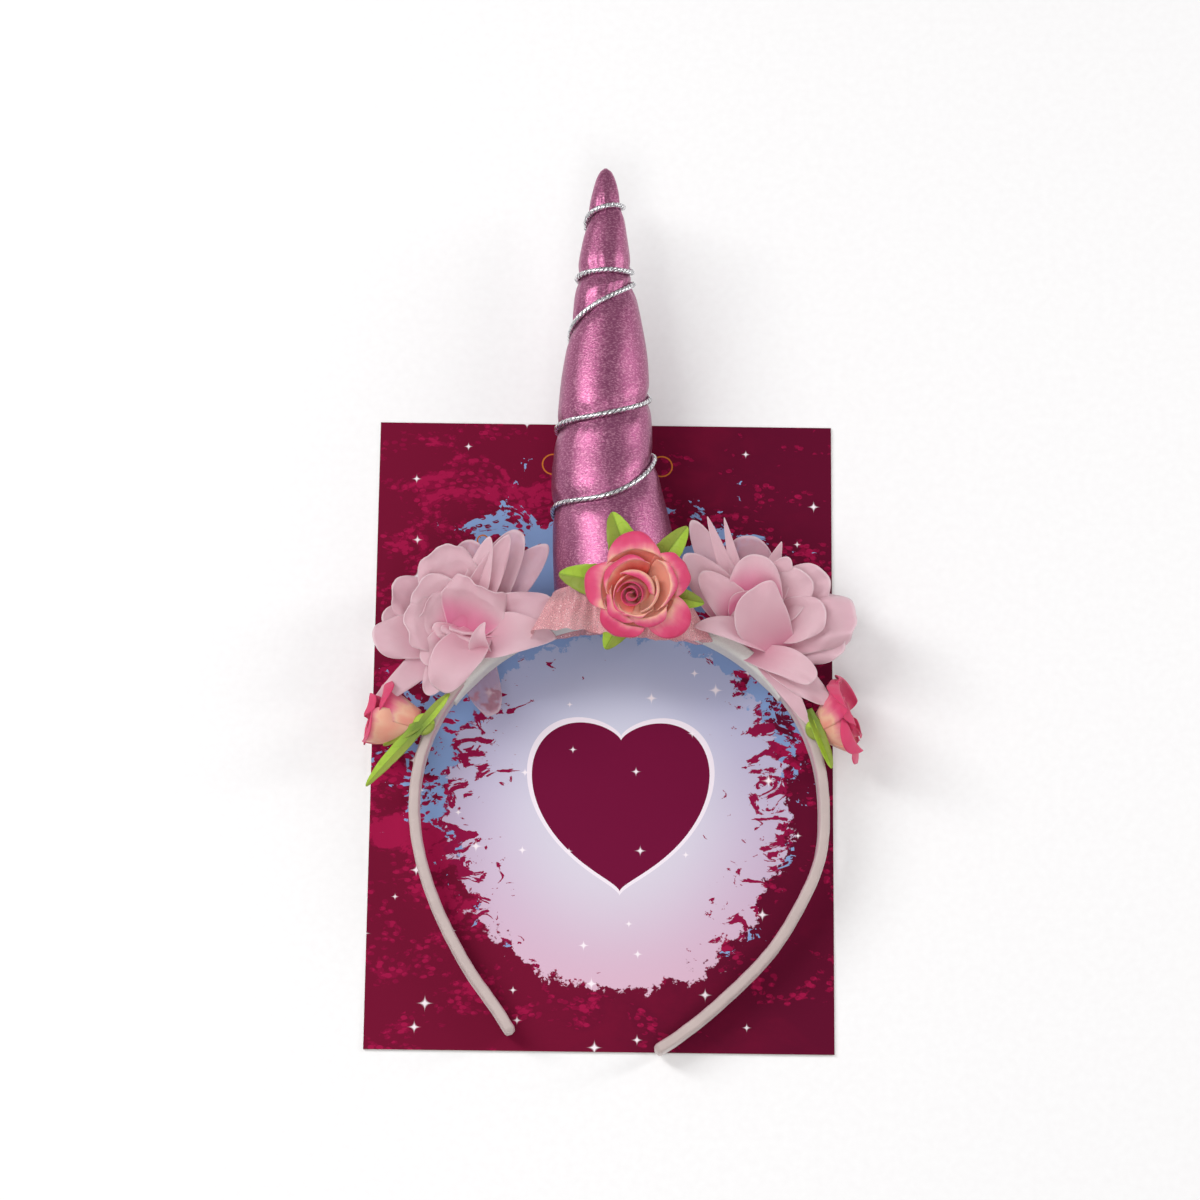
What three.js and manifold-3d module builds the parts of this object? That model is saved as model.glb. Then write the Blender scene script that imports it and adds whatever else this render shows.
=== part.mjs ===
// A unicorn horn headband lying on its flat backing card, in millimetres.
// The origin is the middle of the card's back face. X runs across the card, Y toward the horn's tip, Z up.
import * as THREE from 'three';
import { mergeVertices } from 'three/addons/utils/BufferGeometryUtils.js';
import Module from 'manifold-3d';

const wasm = await Module();
wasm.setup();

// Space kept between neighbouring pieces, and the cloth wall of petals and leaves
const clearance = 0.3;
const petalWall = 1.2;
const leafWall = 1.0;

// Backing card
const cardWidth = 148;
const cardLength = 210;
const cardThickness = 0.8;

// The headband lies with its ends on the card and its top propped up, so its plane leans
const lean = THREE.MathUtils.degToRad(5.5);
const archAcross = 5.45;
const archUp = -28.1;

// Padded hoop, measured to the middle of its wall from the middle of the arch
const bandHalfWidth = 64.75;
const archRise = 61.8;
const legDrop = 78.3;
const bandThickness = 3.6;
const bandWidth = 10;
const bandEdgeEase = 1.0;
const liningEdgeEase = 0.3;

// Pale strip glued to the inner face of the arch
const liningThickness = 1.0;
const liningWidth = 8.6;
const liningStart = THREE.MathUtils.degToRad(146);
const liningEnd = THREE.MathUtils.degToRad(37);

// Horn: half its width at the foot, its length, its sideways sway, and how flat it is in front and behind
const hornRadius = 20;
const hornLength = 149.7;
const hornFootX = -1.25;
const hornSway = -5.4;
const hornFront = 0.9;
const hornBack = 0.8;
const hornTipRadius = 0.5;
const hornSink = 2.1;
const pinchDepth = 1.6;
const pinchReach = 3.8;

// Cord wound round the horn
const cordDiameter = 1.7;
const cordClearance = 1.0;

// Gathered net skirt round the horn's foot
const skirtWall = 1.2;
const skirtHeight = 6.5;
const skirtSideReach = 11.5;
const skirtFrontReach = -2.5;
const skirtBackReach = -1.0;
const skirtSideDrop = 6.0;
const skirtFrontDrop = 17;
const skirtRuffles = 9;
const skirtRuffleDepth = 1.2;

// Rose: how far it lies across from the horn's middle, up from the hoop and out from the horn's front
const roseAcross = 6.85;
const roseUp = 3.6;
const roseOut = 2.6;
const roseAxis = [-0.05, -0.2, 0.98];
const roseSeats = { calyx: 7, outer: 6, middle: 5, core: 4 };
const roseReach = 16.5;
const roseDepth = 14.5;
const leafLength = 27;
const leafWidth = 10;

// Blooms: where round the arch each sits, how far out from the middle of the band's wall, and its seat
const leftBloomAngle = THREE.MathUtils.degToRad(131);
const leftBloomOut = 12.1;
const leftBloomSeat = 11.5;
const rightBloomAngle = THREE.MathUtils.degToRad(55.4);
const rightBloomOut = 7.3;
const rightBloomSeat = 9.5;
const bloomMiddleSeat = 7;
const bloomInnerSeat = 5;
const bloomReach = 30;
const bloomDepth = 26;
const petalWidth = 22;
const seatThickness = 1.6;
const layerStep = seatThickness + 1.2 * clearance;

// Buds
const budSeat = 4.5;
const budCoreSeat = 3;
const budRaise = -0.5;
const budLeafTurn = 0.2;
const leftBudAxis = [-0.96, 0.22, 0.16];
const leftBudSize = 20.5;
const leftBudRadius = 8.4;
const rightBudAxis = [0.9, 0.4, 0.1];
const rightBudSize = 15;
const rightBudRadius = 12;
const budAngle = THREE.MathUtils.degToRad(22);

// Legs of the hoop: how far out and how far down each bend lies, as shares of the half width and the drop
const leftLeg = table(['out', 'down'], [
  [0.506, 0.935],
  [0.580, 0.840],
  [0.728, 0.668],
  [0.880, 0.430],
  [0.972, 0.203],
]);
const rightLeg = table(['out', 'down'], [
  [0.980, 0.216],
  [0.870, 0.428],
  [0.725, 0.612],
  [0.475, 0.820],
  [0.288, 0.945],
  [0.186, 1.000],
]);

// Horn sections: height up the horn, radius and sway, as shares of its length, radius and sway
const hornSections = table(['height', 'radius', 'sway'], [
  [0.000, 1.000, 0.00],
  [0.119, 0.978, 0.22],
  [0.207, 0.944, 0.43],
  [0.296, 0.872, 0.74],
  [0.360, 0.800, 0.88],
  [0.430, 0.765, 0.91],
  [0.519, 0.715, 0.91],
  [0.580, 0.660, 0.85],
  [0.655, 0.560, 0.83],
  [0.722, 0.485, 0.93],
  [0.790, 0.425, 0.97],
  [0.882, 0.310, 0.93],
  [0.927, 0.245, 0.98],
  [0.973, 0.160, 1.00],
  [0.992, 0.095, 1.00],
  [1.000, 0.030, 1.00],
]);

// Cord: its height up the horn, as a share of the horn's length, at each quarter turn.
// Whole turns are at the horn's left side, and the next quarter is at its front.
const cordTurns = table(['turn', 'height'], [
  [-0.50, 0.087],
  [-0.25, 0.154],
  [0.00, 0.226],
  [0.25, 0.240],
  [0.50, 0.349],
  [0.75, 0.383],
  [1.00, 0.408],
  [1.25, 0.422],
  [1.50, 0.480],
  [1.75, 0.556],
  [2.00, 0.624],
  [2.25, 0.688],
  [2.50, 0.738],
  [2.75, 0.744],
  [3.00, 0.748],
  [3.25, 0.754],
  [3.50, 0.764],
  [3.75, 0.822],
  [4.00, 0.878],
  [4.25, 0.904],
  [4.50, 0.912],
  [4.75, 0.922],
]);

// Petals of each bloom: azimuth in degrees from +X, reach and bulge out from the centre, rise and lift
// toward the viewer at the tip and at the bend, width, and cup across the petal.
// Reach and bulge are shares of bloomReach, rise and lift of bloomDepth, width of petalWidth.
const petalColumns = ['azimuth', 'reach', 'rise', 'bulge', 'lift', 'width', 'cup'];
const leftOuterPetals = table(petalColumns, [
  [88, 0.95, 0.20, 0.55, -0.05, 0.90, 0.25],
  [62, 1.17, 0.34, 0.60, 0.00, 0.68, 0.45],
  [48, 1.25, 0.14, 0.60, -0.05, 0.50, 0.50],
  [152, 0.80, 0.40, 0.60, 0.00, 0.85, 0.25],
  [172, 0.84, 0.30, 0.55, -0.05, 0.75, 0.20],
  [-160, 0.98, 0.42, 0.60, 0.20, 0.95, 0.20],
  [-136, 1.20, 0.25, 0.55, 0.20, 0.60, 0.30],
  [-12, 1.05, 0.38, 0.50, 0.45, 0.45, 0.30],
]);
const leftMiddlePetals = table(petalColumns, [
  [112, 0.76, 0.60, 0.65, 0.10, 1.05, 0.30],
  [74, 0.95, 0.52, 0.60, 0.20, 0.42, 0.45],
  [22, 0.80, 0.50, 0.55, 0.25, 0.65, 0.35],
  [-98, 0.84, 0.52, 0.45, 0.72, 0.80, 0.20],
  [-62, 0.45, 0.70, 0.35, 0.70, 0.55, 0.30],
  [178, 0.70, 0.60, 0.60, 0.25, 0.95, 0.25],
]);
const leftInnerPetals = table(petalColumns, [
  [64, 0.40, 0.80, 0.60, 0.20, 0.95, 0.45],
  [150, 0.34, 0.50, 0.50, 0.10, 0.70, 0.35],
  [-50, 0.30, 0.84, 0.40, 0.45, 0.45, 0.60],
]);
const rightOuterPetals = table(petalColumns, [
  [96, 1.02, 0.12, 0.55, -0.08, 0.85, 0.25],
  [72, 0.98, 0.26, 0.55, 0.00, 0.60, 0.35],
  [120, 1.28, 0.20, 0.60, 0.00, 0.45, 0.50],
  [108, 1.20, 0.34, 0.60, 0.05, 0.38, 0.50],
  [2, 0.98, 0.50, 0.60, 0.10, 0.85, 0.25],
  [28, 0.95, 0.46, 0.60, 0.10, 0.80, 0.25],
  [-46, 1.12, 0.40, 0.60, 0.40, 0.60, 0.35],
  [-68, 1.08, 0.32, 0.50, 0.55, 0.48, 0.30],
]);
const rightMiddlePetals = table(petalColumns, [
  [84, 0.66, 0.72, 0.60, 0.20, 1.00, 0.35],
  [50, 0.80, 0.62, 0.60, 0.20, 0.75, 0.30],
  [135, 0.92, 0.55, 0.55, 0.25, 0.70, 0.35],
  [16, 0.86, 0.66, 0.55, 0.35, 0.85, 0.25],
  [-44, 0.88, 0.60, 0.45, 0.75, 0.80, 0.20],
]);
const rightInnerPetals = table(petalColumns, [
  [142, 0.50, 0.78, 0.55, 0.35, 0.62, 0.45],
  [-20, 0.34, 1.00, 0.55, 0.35, 0.95, 0.45],
  [-170, 0.58, 0.80, 0.40, 0.75, 0.45, 0.35],
]);

// Rose and bud petals: the same columns, as shares of the flower's own reach, depth and width
const roseOuterPetals = table(petalColumns, [
  [150, 1.05, 0.42, 1.00, 0.05, 1.15, 0.20],
  [88, 1.00, 0.46, 0.98, 0.05, 1.10, 0.20],
  [24, 0.98, 0.40, 1.00, 0.05, 1.10, 0.20],
  [-32, 1.06, 0.42, 0.96, 0.05, 1.05, 0.20],
  [-112, 1.02, 0.44, 1.00, 0.05, 1.20, 0.20],
]);
const roseMiddlePetals = table(petalColumns, [
  [112, 0.66, 0.84, 0.80, 0.30, 0.90, 0.40],
  [28, 0.66, 0.80, 0.80, 0.30, 0.90, 0.40],
  [-66, 0.64, 0.78, 0.78, 0.30, 0.90, 0.40],
  [-152, 0.66, 0.80, 0.80, 0.30, 0.90, 0.40],
]);
const roseCorePetals = table(petalColumns, [
  [70, 0.20, 1.00, 0.52, 0.45, 0.50, 0.70],
  [190, 0.20, 0.96, 0.52, 0.45, 0.50, 0.70],
  [310, 0.20, 0.92, 0.52, 0.45, 0.50, 0.70],
]);
const budOuterPetals = table(petalColumns, [
  [45, 1.00, 1.00, 1.10, 0.45, 1.30, 0.45],
  [135, 1.00, 0.96, 1.10, 0.45, 1.30, 0.45],
  [225, 1.00, 1.00, 1.10, 0.45, 1.30, 0.45],
  [315, 1.00, 0.94, 1.10, 0.45, 1.30, 0.45],
]);
const budCorePetals = table(petalColumns, [
  [0, 0.28, 0.92, 0.60, 0.50, 0.60, 0.60],
  [120, 0.28, 0.88, 0.60, 0.50, 0.60, 0.60],
  [240, 0.28, 0.90, 0.60, 0.50, 0.60, 0.60],
]);

// Leaves: azimuth in degrees, reach and rise as shares of leafLength, width of leafWidth
const leafColumns = ['azimuth', 'reach', 'rise', 'width'];
const roseLeaves = table(leafColumns, [
  [109, 1.00, 0.02, 1.00],
  [164, 1.00, 0.02, 1.00],
  [57, 0.94, 0.02, 0.95],
  [239, 0.80, 0.02, 0.90],
  [-3, 0.74, 0.02, 0.80],
]);
const leftBudLeaves = table(leafColumns, [
  [-134, 1.00, 0.00, 0.85],
  [-160, 0.62, -0.04, 0.80],
  [55, 0.50, 0.12, 0.85],
  [120, 0.36, 0.00, 0.70],
]);
const rightBudLeaves = table(leafColumns, [
  [-72, 0.56, 0.12, 0.60],
  [-20, 0.36, 0.00, 0.70],
  [100, 0.40, 0.10, 0.60],
]);

// Where petals and leaves start on their seat, as shares of its radius, and where along it a leaf bends
const petalRoot = 0.8;
const leafRoot = 0.4;
const leafBend = 0.7;
const leafCup = 0.1;

// Points that the arch's and the lining's lines run through, then facets round and along each form, and
// across and along a petal or a leaf
const archSpots = 13;
const liningSpots = 15;
const bandSteps = 38;
const liningSteps = 15;
const hornSides = 16;
const hornRings = 36;
const cordStepsPerTurn = 14;
const stepsPerRuffle = 4;
const skirtSteps = 3;
const seatSides = 12;
const bloomGrid = [2, 4];
const smallGrid = [2, 3];

const finishes = {
  card: new THREE.MeshStandardMaterial({ color: 0x6d1236, roughness: 0.55, metalness: 0 }),
  satin: new THREE.MeshStandardMaterial({ color: 0xe3c9d2, roughness: 0.4, metalness: 0 }),
  felt: new THREE.MeshStandardMaterial({ color: 0xb9b5b0, roughness: 0.95, metalness: 0 }),
  lame: new THREE.MeshStandardMaterial({ color: 0xb8649a, roughness: 0.35, metalness: 0.6 }),
  silver: new THREE.MeshStandardMaterial({ color: 0xb9b7c0, roughness: 0.35, metalness: 0.8 }),
  net: new THREE.MeshStandardMaterial({ color: 0xd99bab, roughness: 0.8, metalness: 0 }),
  chiffon: new THREE.MeshStandardMaterial({ color: 0xdcb4c0, roughness: 0.8, metalness: 0 }),
  rose: new THREE.MeshStandardMaterial({ color: 0xe0627c, roughness: 0.7, metalness: 0 }),
  leaf: new THREE.MeshStandardMaterial({ color: 0x86a82a, roughness: 0.7, metalness: 0 }),
};

// Rows of numbers as objects with named columns
function table(columns, rows) {
  return rows.map((row) => Object.fromEntries(columns.map((column, index) => [column, row[index]])));
}

// Smooth reading of one column at a place on another: a cubic between rows, with slopes from their neighbours
function readTable(rows, key, column, place) {
  const last = rows.length - 1;
  let low = 0;
  while (low < last - 1 && place > rows[low + 1][key]) low += 1;
  const slopeAt = (row) => {
    const before = rows[Math.max(row - 1, 0)];
    const after = rows[Math.min(row + 1, last)];
    return (after[column] - before[column]) / (after[key] - before[key]);
  };
  const span = rows[low + 1][key] - rows[low][key];
  const part = THREE.MathUtils.clamp((place - rows[low][key]) / span, 0, 1);
  const square = part * part;
  const cube = square * part;
  return rows[low][column] * (2 * cube - 3 * square + 1)
    + rows[low + 1][column] * (3 * square - 2 * cube)
    + slopeAt(low) * span * (cube - 2 * square + part)
    + slopeAt(low + 1) * span * (cube - square);
}

// Moves each vertex of a geometry to where a function of its own place sends it
function shapeGeometry(geometry, placeOf) {
  const positions = geometry.attributes.position;
  const vertex = new THREE.Vector3();
  for (let index = 0; index < positions.count; index += 1) {
    vertex.fromBufferAttribute(positions, index);
    placeOf(vertex);
    positions.setXYZ(index, vertex.x, vertex.y, vertex.z);
  }
  return geometry;
}

// Closed body of a geometry, with shared vertices merged and faces turned outwards
function solidOf(geometry) {
  const bare = geometry.clone();
  for (const name of Object.keys(bare.attributes)) {
    if (name !== 'position') bare.deleteAttribute(name);
  }
  const merged = mergeVertices(bare, 1e-3);
  const corners = [];
  for (let index = 0; index < merged.index.count; index += 3) {
    const [a, b, c] = [0, 1, 2].map((corner) => merged.index.getX(index + corner));
    if (a !== b && b !== c && c !== a) corners.push(a, b, c);
  }
  const build = (triangles) => new wasm.Manifold(new wasm.Mesh({
    numProp: 3,
    vertProperties: Float32Array.from(merged.attributes.position.array),
    triVerts: Uint32Array.from(triangles),
  }));
  const solid = build(corners);
  return solid.volume() > 0 ? solid : build(corners.reverse());
}

const join = (solids) => solids.reduce((whole, solid) => whole.add(solid));
const cut = (solid, tools) => tools.reduce((rest, tool) => rest.subtract(tool), solid);

// The largest connected body, with slivers cleared from its edges
function mainBody(solid) {
  const bodies = solid.decompose();
  return bodies.reduce((best, body) => (body.volume() > best.volume() ? body : best)).simplify(0.08);
}

function namedMesh(name, solid, material) {
  const { vertProperties, triVerts } = solid.getMesh();
  const geometry = new THREE.BufferGeometry();
  geometry.setAttribute('position', new THREE.BufferAttribute(Float32Array.from(vertProperties), 3));
  geometry.setIndex(new THREE.BufferAttribute(Uint32Array.from(triVerts), 1));
  geometry.computeVertexNormals();
  const mesh = new THREE.Mesh(geometry, material);
  mesh.name = name;
  return mesh;
}

// A point of the arch, moved outwards along its normal
function archPoint(angle, offset) {
  const x = bandHalfWidth * Math.cos(angle);
  const y = archRise * Math.sin(angle);
  const normal = new THREE.Vector2(x / bandHalfWidth ** 2, y / archRise ** 2).normalize();
  return new THREE.Vector3(x + offset * normal.x, y + offset * normal.y, 0);
}

// Middle line of the hoop: up the left leg, over the arch and down the right leg
function bandPath() {
  const arch = Array.from({ length: archSpots }, (_, step) => (
    archPoint(Math.PI * (1 - step / (archSpots - 1)), 0)));
  const left = leftLeg.map((row) => new THREE.Vector3(-row.out * bandHalfWidth, -row.down * legDrop, 0));
  const right = rightLeg.map((row) => new THREE.Vector3(row.out * bandHalfWidth, -row.down * legDrop, 0));
  return new THREE.CatmullRomCurve3([...left, ...arch, ...right]);
}

// Section of a strip with eased corners: x lies across the strip, y through its wall
function stripSection(width, thickness, ease) {
  const x = width / 2;
  const y = thickness / 2;
  const corner = (signX, signY) => [
    new THREE.Vector2(signX * x, signY * (y - ease)),
    new THREE.Vector2(signX * (x - ease), signY * y),
  ];
  const points = [
    ...corner(1, 1),
    ...corner(-1, 1).reverse(),
    ...corner(-1, -1),
    ...corner(1, -1).reverse(),
  ];
  return new THREE.Shape(points);
}

function band(grow) {
  const section = stripSection(bandWidth + 2 * grow, bandThickness + 2 * grow, bandEdgeEase);
  const options = { steps: bandSteps, bevelEnabled: false, extrudePath: bandPath() };
  return solidOf(new THREE.ExtrudeGeometry(section, options));
}

function bandLining(grow) {
  const inset = -(bandThickness + liningThickness) / 2 - clearance;
  const points = Array.from({ length: liningSpots }, (_, step) => (
    archPoint(THREE.MathUtils.lerp(liningStart, liningEnd, step / (liningSpots - 1)), inset)));
  const section = stripSection(liningWidth + 2 * grow, liningThickness + 2 * grow, liningEdgeEase);
  const extrudePath = new THREE.CatmullRomCurve3(points);
  const options = { steps: liningSteps, bevelEnabled: false, extrudePath };
  return solidOf(new THREE.ExtrudeGeometry(section, options));
}

// How much the cord pinches the horn's radius at a height and an angle from the left side through the front
function pinchAt(height, angle) {
  const firstTurn = cordTurns[0].turn;
  const lastTurn = cordTurns[cordTurns.length - 1].turn;
  const part = angle / (2 * Math.PI);
  let deepest = 0;
  for (let turn = part + Math.floor(firstTurn) - 1; turn <= lastTurn; turn += 1) {
    if (turn < firstTurn) continue;
    const away = (height - readTable(cordTurns, 'turn', 'height', turn)) * hornLength / pinchReach;
    deepest = Math.max(deepest, Math.exp(-away * away));
  }
  return pinchDepth * deepest;
}

// A point of the horn's surface, moved outwards by an offset. The angle runs from the left side to the front.
function hornPoint(height, angle, offset) {
  const share = readTable(hornSections, 'height', 'radius', height);
  const radius = hornRadius * share - pinchAt(height, angle) * Math.min(1, 2 * share) + offset;
  const flat = Math.sin(angle) > 0 ? hornFront : hornBack;
  const middle = hornFootX + hornSway * readTable(hornSections, 'height', 'sway', height);
  return new THREE.Vector3(
    middle - Math.max(radius, hornTipRadius) * Math.cos(angle),
    archRise - hornSink + bandThickness / 2 + height * hornLength,
    Math.max(radius, hornTipRadius) * Math.sin(angle) * flat,
  );
}

function horn(grow) {
  const blank = new THREE.CylinderGeometry(1, 1, 1, hornSides, hornRings);
  return solidOf(shapeGeometry(blank, (vertex) => {
    const height = vertex.y + 0.5;
    const share = Math.hypot(vertex.x, vertex.z);
    const angle = (Math.atan2(vertex.z, -vertex.x) + 2 * Math.PI) % (2 * Math.PI);
    const rim = hornPoint(height, angle, grow);
    const middle = hornPoint(height, angle, grow).setZ(0);
    middle.x = hornFootX + hornSway * readTable(hornSections, 'height', 'sway', height);
    vertex.lerpVectors(middle, rim, share);
  }));
}

function hornCord(grow) {
  const firstTurn = cordTurns[0].turn;
  const lastTurn = cordTurns[cordTurns.length - 1].turn;
  const steps = Math.round((lastTurn - firstTurn) * cordStepsPerTurn);
  const offset = cordDiameter / 2 + cordClearance;
  const points = Array.from({ length: steps + 1 }, (_, step) => {
    const turn = THREE.MathUtils.lerp(firstTurn, lastTurn, step / steps);
    const angle = (turn - Math.floor(turn)) * 2 * Math.PI;
    return hornPoint(readTable(cordTurns, 'turn', 'height', turn), angle, offset);
  });
  const section = new THREE.Shape().absarc(0, 0, cordDiameter / 2 + grow, 0, 2 * Math.PI, false);
  const extrudePath = new THREE.CatmullRomCurve3(points);
  const options = { steps, curveSegments: 3, bevelEnabled: false, extrudePath };
  return solidOf(new THREE.ExtrudeGeometry(section, options));
}

// Net skirt: a closed profile turned round the horn, then flared, dropped and ruffled.
// It falls low in front of and behind the hoop, and rides over the hoop's outer face at the sides.
function tulleRuffle(grow) {
  const levels = Array.from({ length: skirtSteps + 1 }, (_, step) => step / skirtSteps);
  const profile = [
    ...levels.map((level) => new THREE.Vector2(2, level)),
    ...levels.map((level) => new THREE.Vector2(1, 1 - level)),
  ];
  profile.push(profile[0].clone());
  const foot = hornPoint(0, 0, 0).y;
  return solidOf(shapeGeometry(new THREE.LatheGeometry(profile, skirtRuffles * stepsPerRuffle), (vertex) => {
    const layer = Math.hypot(vertex.x, vertex.z) - 1.5;
    const angle = Math.atan2(vertex.z, vertex.x);
    const down = vertex.y;
    const front = Math.sin(angle);
    const facing = front * front;
    const flare = THREE.MathUtils.lerp(skirtSideReach, front > 0 ? skirtFrontReach : skirtBackReach, facing);
    const drop = THREE.MathUtils.lerp(skirtSideDrop, skirtFrontDrop, Math.sqrt(facing));
    const ruffle = skirtRuffleDepth * down * Math.sin(skirtRuffles * angle);
    const flat = front > 0 ? hornFront : hornBack;
    const radius = hornRadius + clearance + (skirtWall / 2) + flare * down ** 1.5 + ruffle
      + layer * (skirtWall + 2 * grow);
    const upDown = foot + skirtHeight - drop * down ** 1.2 + (0.5 - down) * 2 * grow;
    vertex.set(hornFootX + radius * Math.cos(angle), upDown, radius * front * flat);
  }));
}

// Half width of a petal along its length: narrow at the root, widest past the middle, round at the tip
function petalOutline(along) {
  const widest = 0.6;
  if (along < widest) return THREE.MathUtils.lerp(0.3, 1, THREE.MathUtils.smoothstep(along / widest, 0, 1));
  const past = Math.min((along - widest) / (1 - widest), 1);
  return Math.max(Math.sqrt(1 - past * past), 0.12);
}

// Half width of a leaf along its length: wide near the root and drawn out to a point
function leafOutline(along) {
  const early = Math.min(along / 0.4, 1);
  return Math.max(along < 0.4 ? 0.45 + 0.55 * Math.sin(early * Math.PI / 2) : (1 - along) / 0.6, 0.06);
}

// A slab bent along a quadratic curve that runs from the flower's axis outwards and toward the viewer.
// Local z is the flower's axis. The slab is cupped across toward the axis and narrowed by its outline.
function petal({ azimuth, root, bend, tip, halfWidth, cup, wall, outline, grid }, grow) {
  const turn = THREE.MathUtils.degToRad(azimuth);
  const outwards = new THREE.Vector3(Math.cos(turn), Math.sin(turn), 0);
  const sideways = new THREE.Vector3(-Math.sin(turn), Math.cos(turn), 0);
  const upwards = new THREE.Vector3(0, 0, 1);
  const spot = (place) => outwards.clone().multiplyScalar(place[0]).addScaledVector(upwards, place[1]);
  const spine = new THREE.QuadraticBezierCurve3(spot(root), spot(bend), spot(tip));
  return shapeGeometry(new THREE.BoxGeometry(2, 1, 1, ...grid, 1), (vertex) => {
    const along = 1 - (0.5 - vertex.y) ** 1.6;
    const half = halfWidth * outline(along) + grow;
    const tangent = spine.getTangent(along);
    const inwards = new THREE.Vector3().crossVectors(sideways, tangent).negate();
    const lift = cup * half * vertex.x ** 2 + vertex.z * (wall + 2 * grow);
    const point = spine.getPoint(along)
      .addScaledVector(tangent, (2 * along - 1) * grow)
      .addScaledVector(sideways, vertex.x * half)
      .addScaledVector(inwards, lift);
    vertex.copy(point);
  });
}

// Round seat in the middle of a ring of petals
function seat(radius, low, high, grow) {
  const profile = [
    new THREE.Vector2(0, low - grow),
    new THREE.Vector2(radius + grow, low - grow),
    new THREE.Vector2(radius + grow, high + grow),
    new THREE.Vector2(0, high + grow),
  ];
  return new THREE.LatheGeometry(profile, seatSides).rotateX(Math.PI / 2);
}

// Frame whose z is a flower's axis, placed at the flower's seat
function flowerFrame(centre, axis) {
  const forwards = new THREE.Vector3(...axis).normalize();
  const guide = Math.abs(forwards.z) > 0.7 ? new THREE.Vector3(0, 1, 0) : new THREE.Vector3(0, 0, 1);
  const right = new THREE.Vector3().crossVectors(guide, forwards).normalize();
  const up = new THREE.Vector3().crossVectors(forwards, right);
  return new THREE.Matrix4().makeBasis(right, up, forwards).setPosition(...centre);
}

// One ring of petals fused to its seat, in a flower whose size the rows are shares of.
// The layer counts the rings under this one.
function petalRing({ rows, size, grid, frame }, seatRadius, layer, grow) {
  const level = layer * layerStep;
  const high = level + seatThickness;
  const petals = rows.map((row) => petal({
    azimuth: row.azimuth,
    root: [seatRadius * petalRoot, (level + high) / 2],
    bend: [row.bulge * size.reach, high + row.lift * size.depth],
    tip: [row.reach * size.reach, row.rise * size.depth],
    halfWidth: row.width * size.width / 2,
    cup: row.cup,
    wall: petalWall,
    outline: petalOutline,
    grid,
  }, grow));
  const bodies = [seat(seatRadius, level, high, grow), ...petals];
  return join(bodies.map((geometry) => solidOf(geometry.applyMatrix4(frame))));
}

function leafRing(rows, seatRadius, frame, grow) {
  const leaves = rows.map((row) => petal({
    azimuth: row.azimuth,
    root: [seatRadius * leafRoot, seatThickness / 2],
    bend: [row.reach * leafLength * leafBend, seatThickness],
    tip: [row.reach * leafLength, row.rise * leafLength],
    halfWidth: row.width * leafWidth / 2,
    cup: leafCup,
    wall: leafWall,
    outline: leafOutline,
    grid: smallGrid,
  }, grow));
  const bodies = [seat(seatRadius, 0, seatThickness, grow), ...leaves];
  return join(bodies.map((geometry) => solidOf(geometry.applyMatrix4(frame))));
}

// Every piece in the order that the real ones are laid on, each cut clear of those before it
const pieces = [];
const laid = [];
function lay(name, finish, build) {
  const solid = mainBody(cut(build(0), laid));
  laid.push(build(clearance));
  pieces.push(namedMesh(name, solid, finishes[finish]));
}

const headband = new THREE.Group();
headband.rotation.x = lean;
headband.position.set(
  archAcross,
  archUp,
  cardThickness + clearance + legDrop * Math.sin(lean) + bandWidth / 2 * Math.cos(lean),
);
headband.updateMatrixWorld(true);

// The card's own space, seen from the headband's frame
const cardSpace = solidOf(
  new THREE.BoxGeometry(2 * cardWidth, 2 * cardLength, 4 * cardThickness)
    .translate(0, 0, cardThickness + clearance - 2 * cardThickness)
    .applyMatrix4(headband.matrixWorld.clone().invert()),
);
laid.push(cardSpace);

lay('band', 'satin', band);
lay('horn', 'lame', horn);
lay('band_lining', 'felt', bandLining);
lay('horn_cord', 'silver', hornCord);
lay('tulle_ruffle', 'net', tulleRuffle);

// A flower's rings of petals, from the one on its seat to its heart
function layFlower(name, finish, flower, rings) {
  for (const [ring, rows, seatRadius, layer] of rings) {
    lay(`${name}_${ring}`, finish, (grow) => petalRing({ ...flower, rows }, seatRadius, layer, grow));
  }
}

const rose = {
  size: { reach: roseReach, depth: roseDepth, width: roseReach },
  grid: smallGrid,
  frame: flowerFrame([hornFootX + roseAcross, archRise + roseUp, hornRadius * hornFront + roseOut], roseAxis),
};
lay('rose_calyx', 'leaf', (grow) => leafRing(roseLeaves, roseSeats.calyx, rose.frame, grow));
layFlower('rose', 'rose', rose, [
  ['outer', roseOuterPetals, roseSeats.outer, 1],
  ['middle', roseMiddlePetals, roseSeats.middle, 2],
  ['core', roseCorePetals, roseSeats.core, 3],
]);

const blooms = [
  {
    name: 'left_bloom',
    centre: archPoint(leftBloomAngle, leftBloomOut),
    seatRadius: leftBloomSeat,
    outer: leftOuterPetals,
    middle: leftMiddlePetals,
    inner: leftInnerPetals,
  },
  {
    name: 'right_bloom',
    centre: archPoint(rightBloomAngle, rightBloomOut),
    seatRadius: rightBloomSeat,
    outer: rightOuterPetals,
    middle: rightMiddlePetals,
    inner: rightInnerPetals,
  },
];
for (const { name, centre, seatRadius, outer, middle, inner } of blooms) {
  const bloom = {
    size: { reach: bloomReach, depth: bloomDepth, width: petalWidth },
    grid: bloomGrid,
    frame: flowerFrame(centre.toArray(), [0, 0, 1]),
  };
  layFlower(name, 'chiffon', bloom, [
    ['outer', outer, seatRadius, 0],
    ['middle', middle, bloomMiddleSeat, 1],
    ['inner', inner, bloomInnerSeat, 2],
  ]);
}

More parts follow.
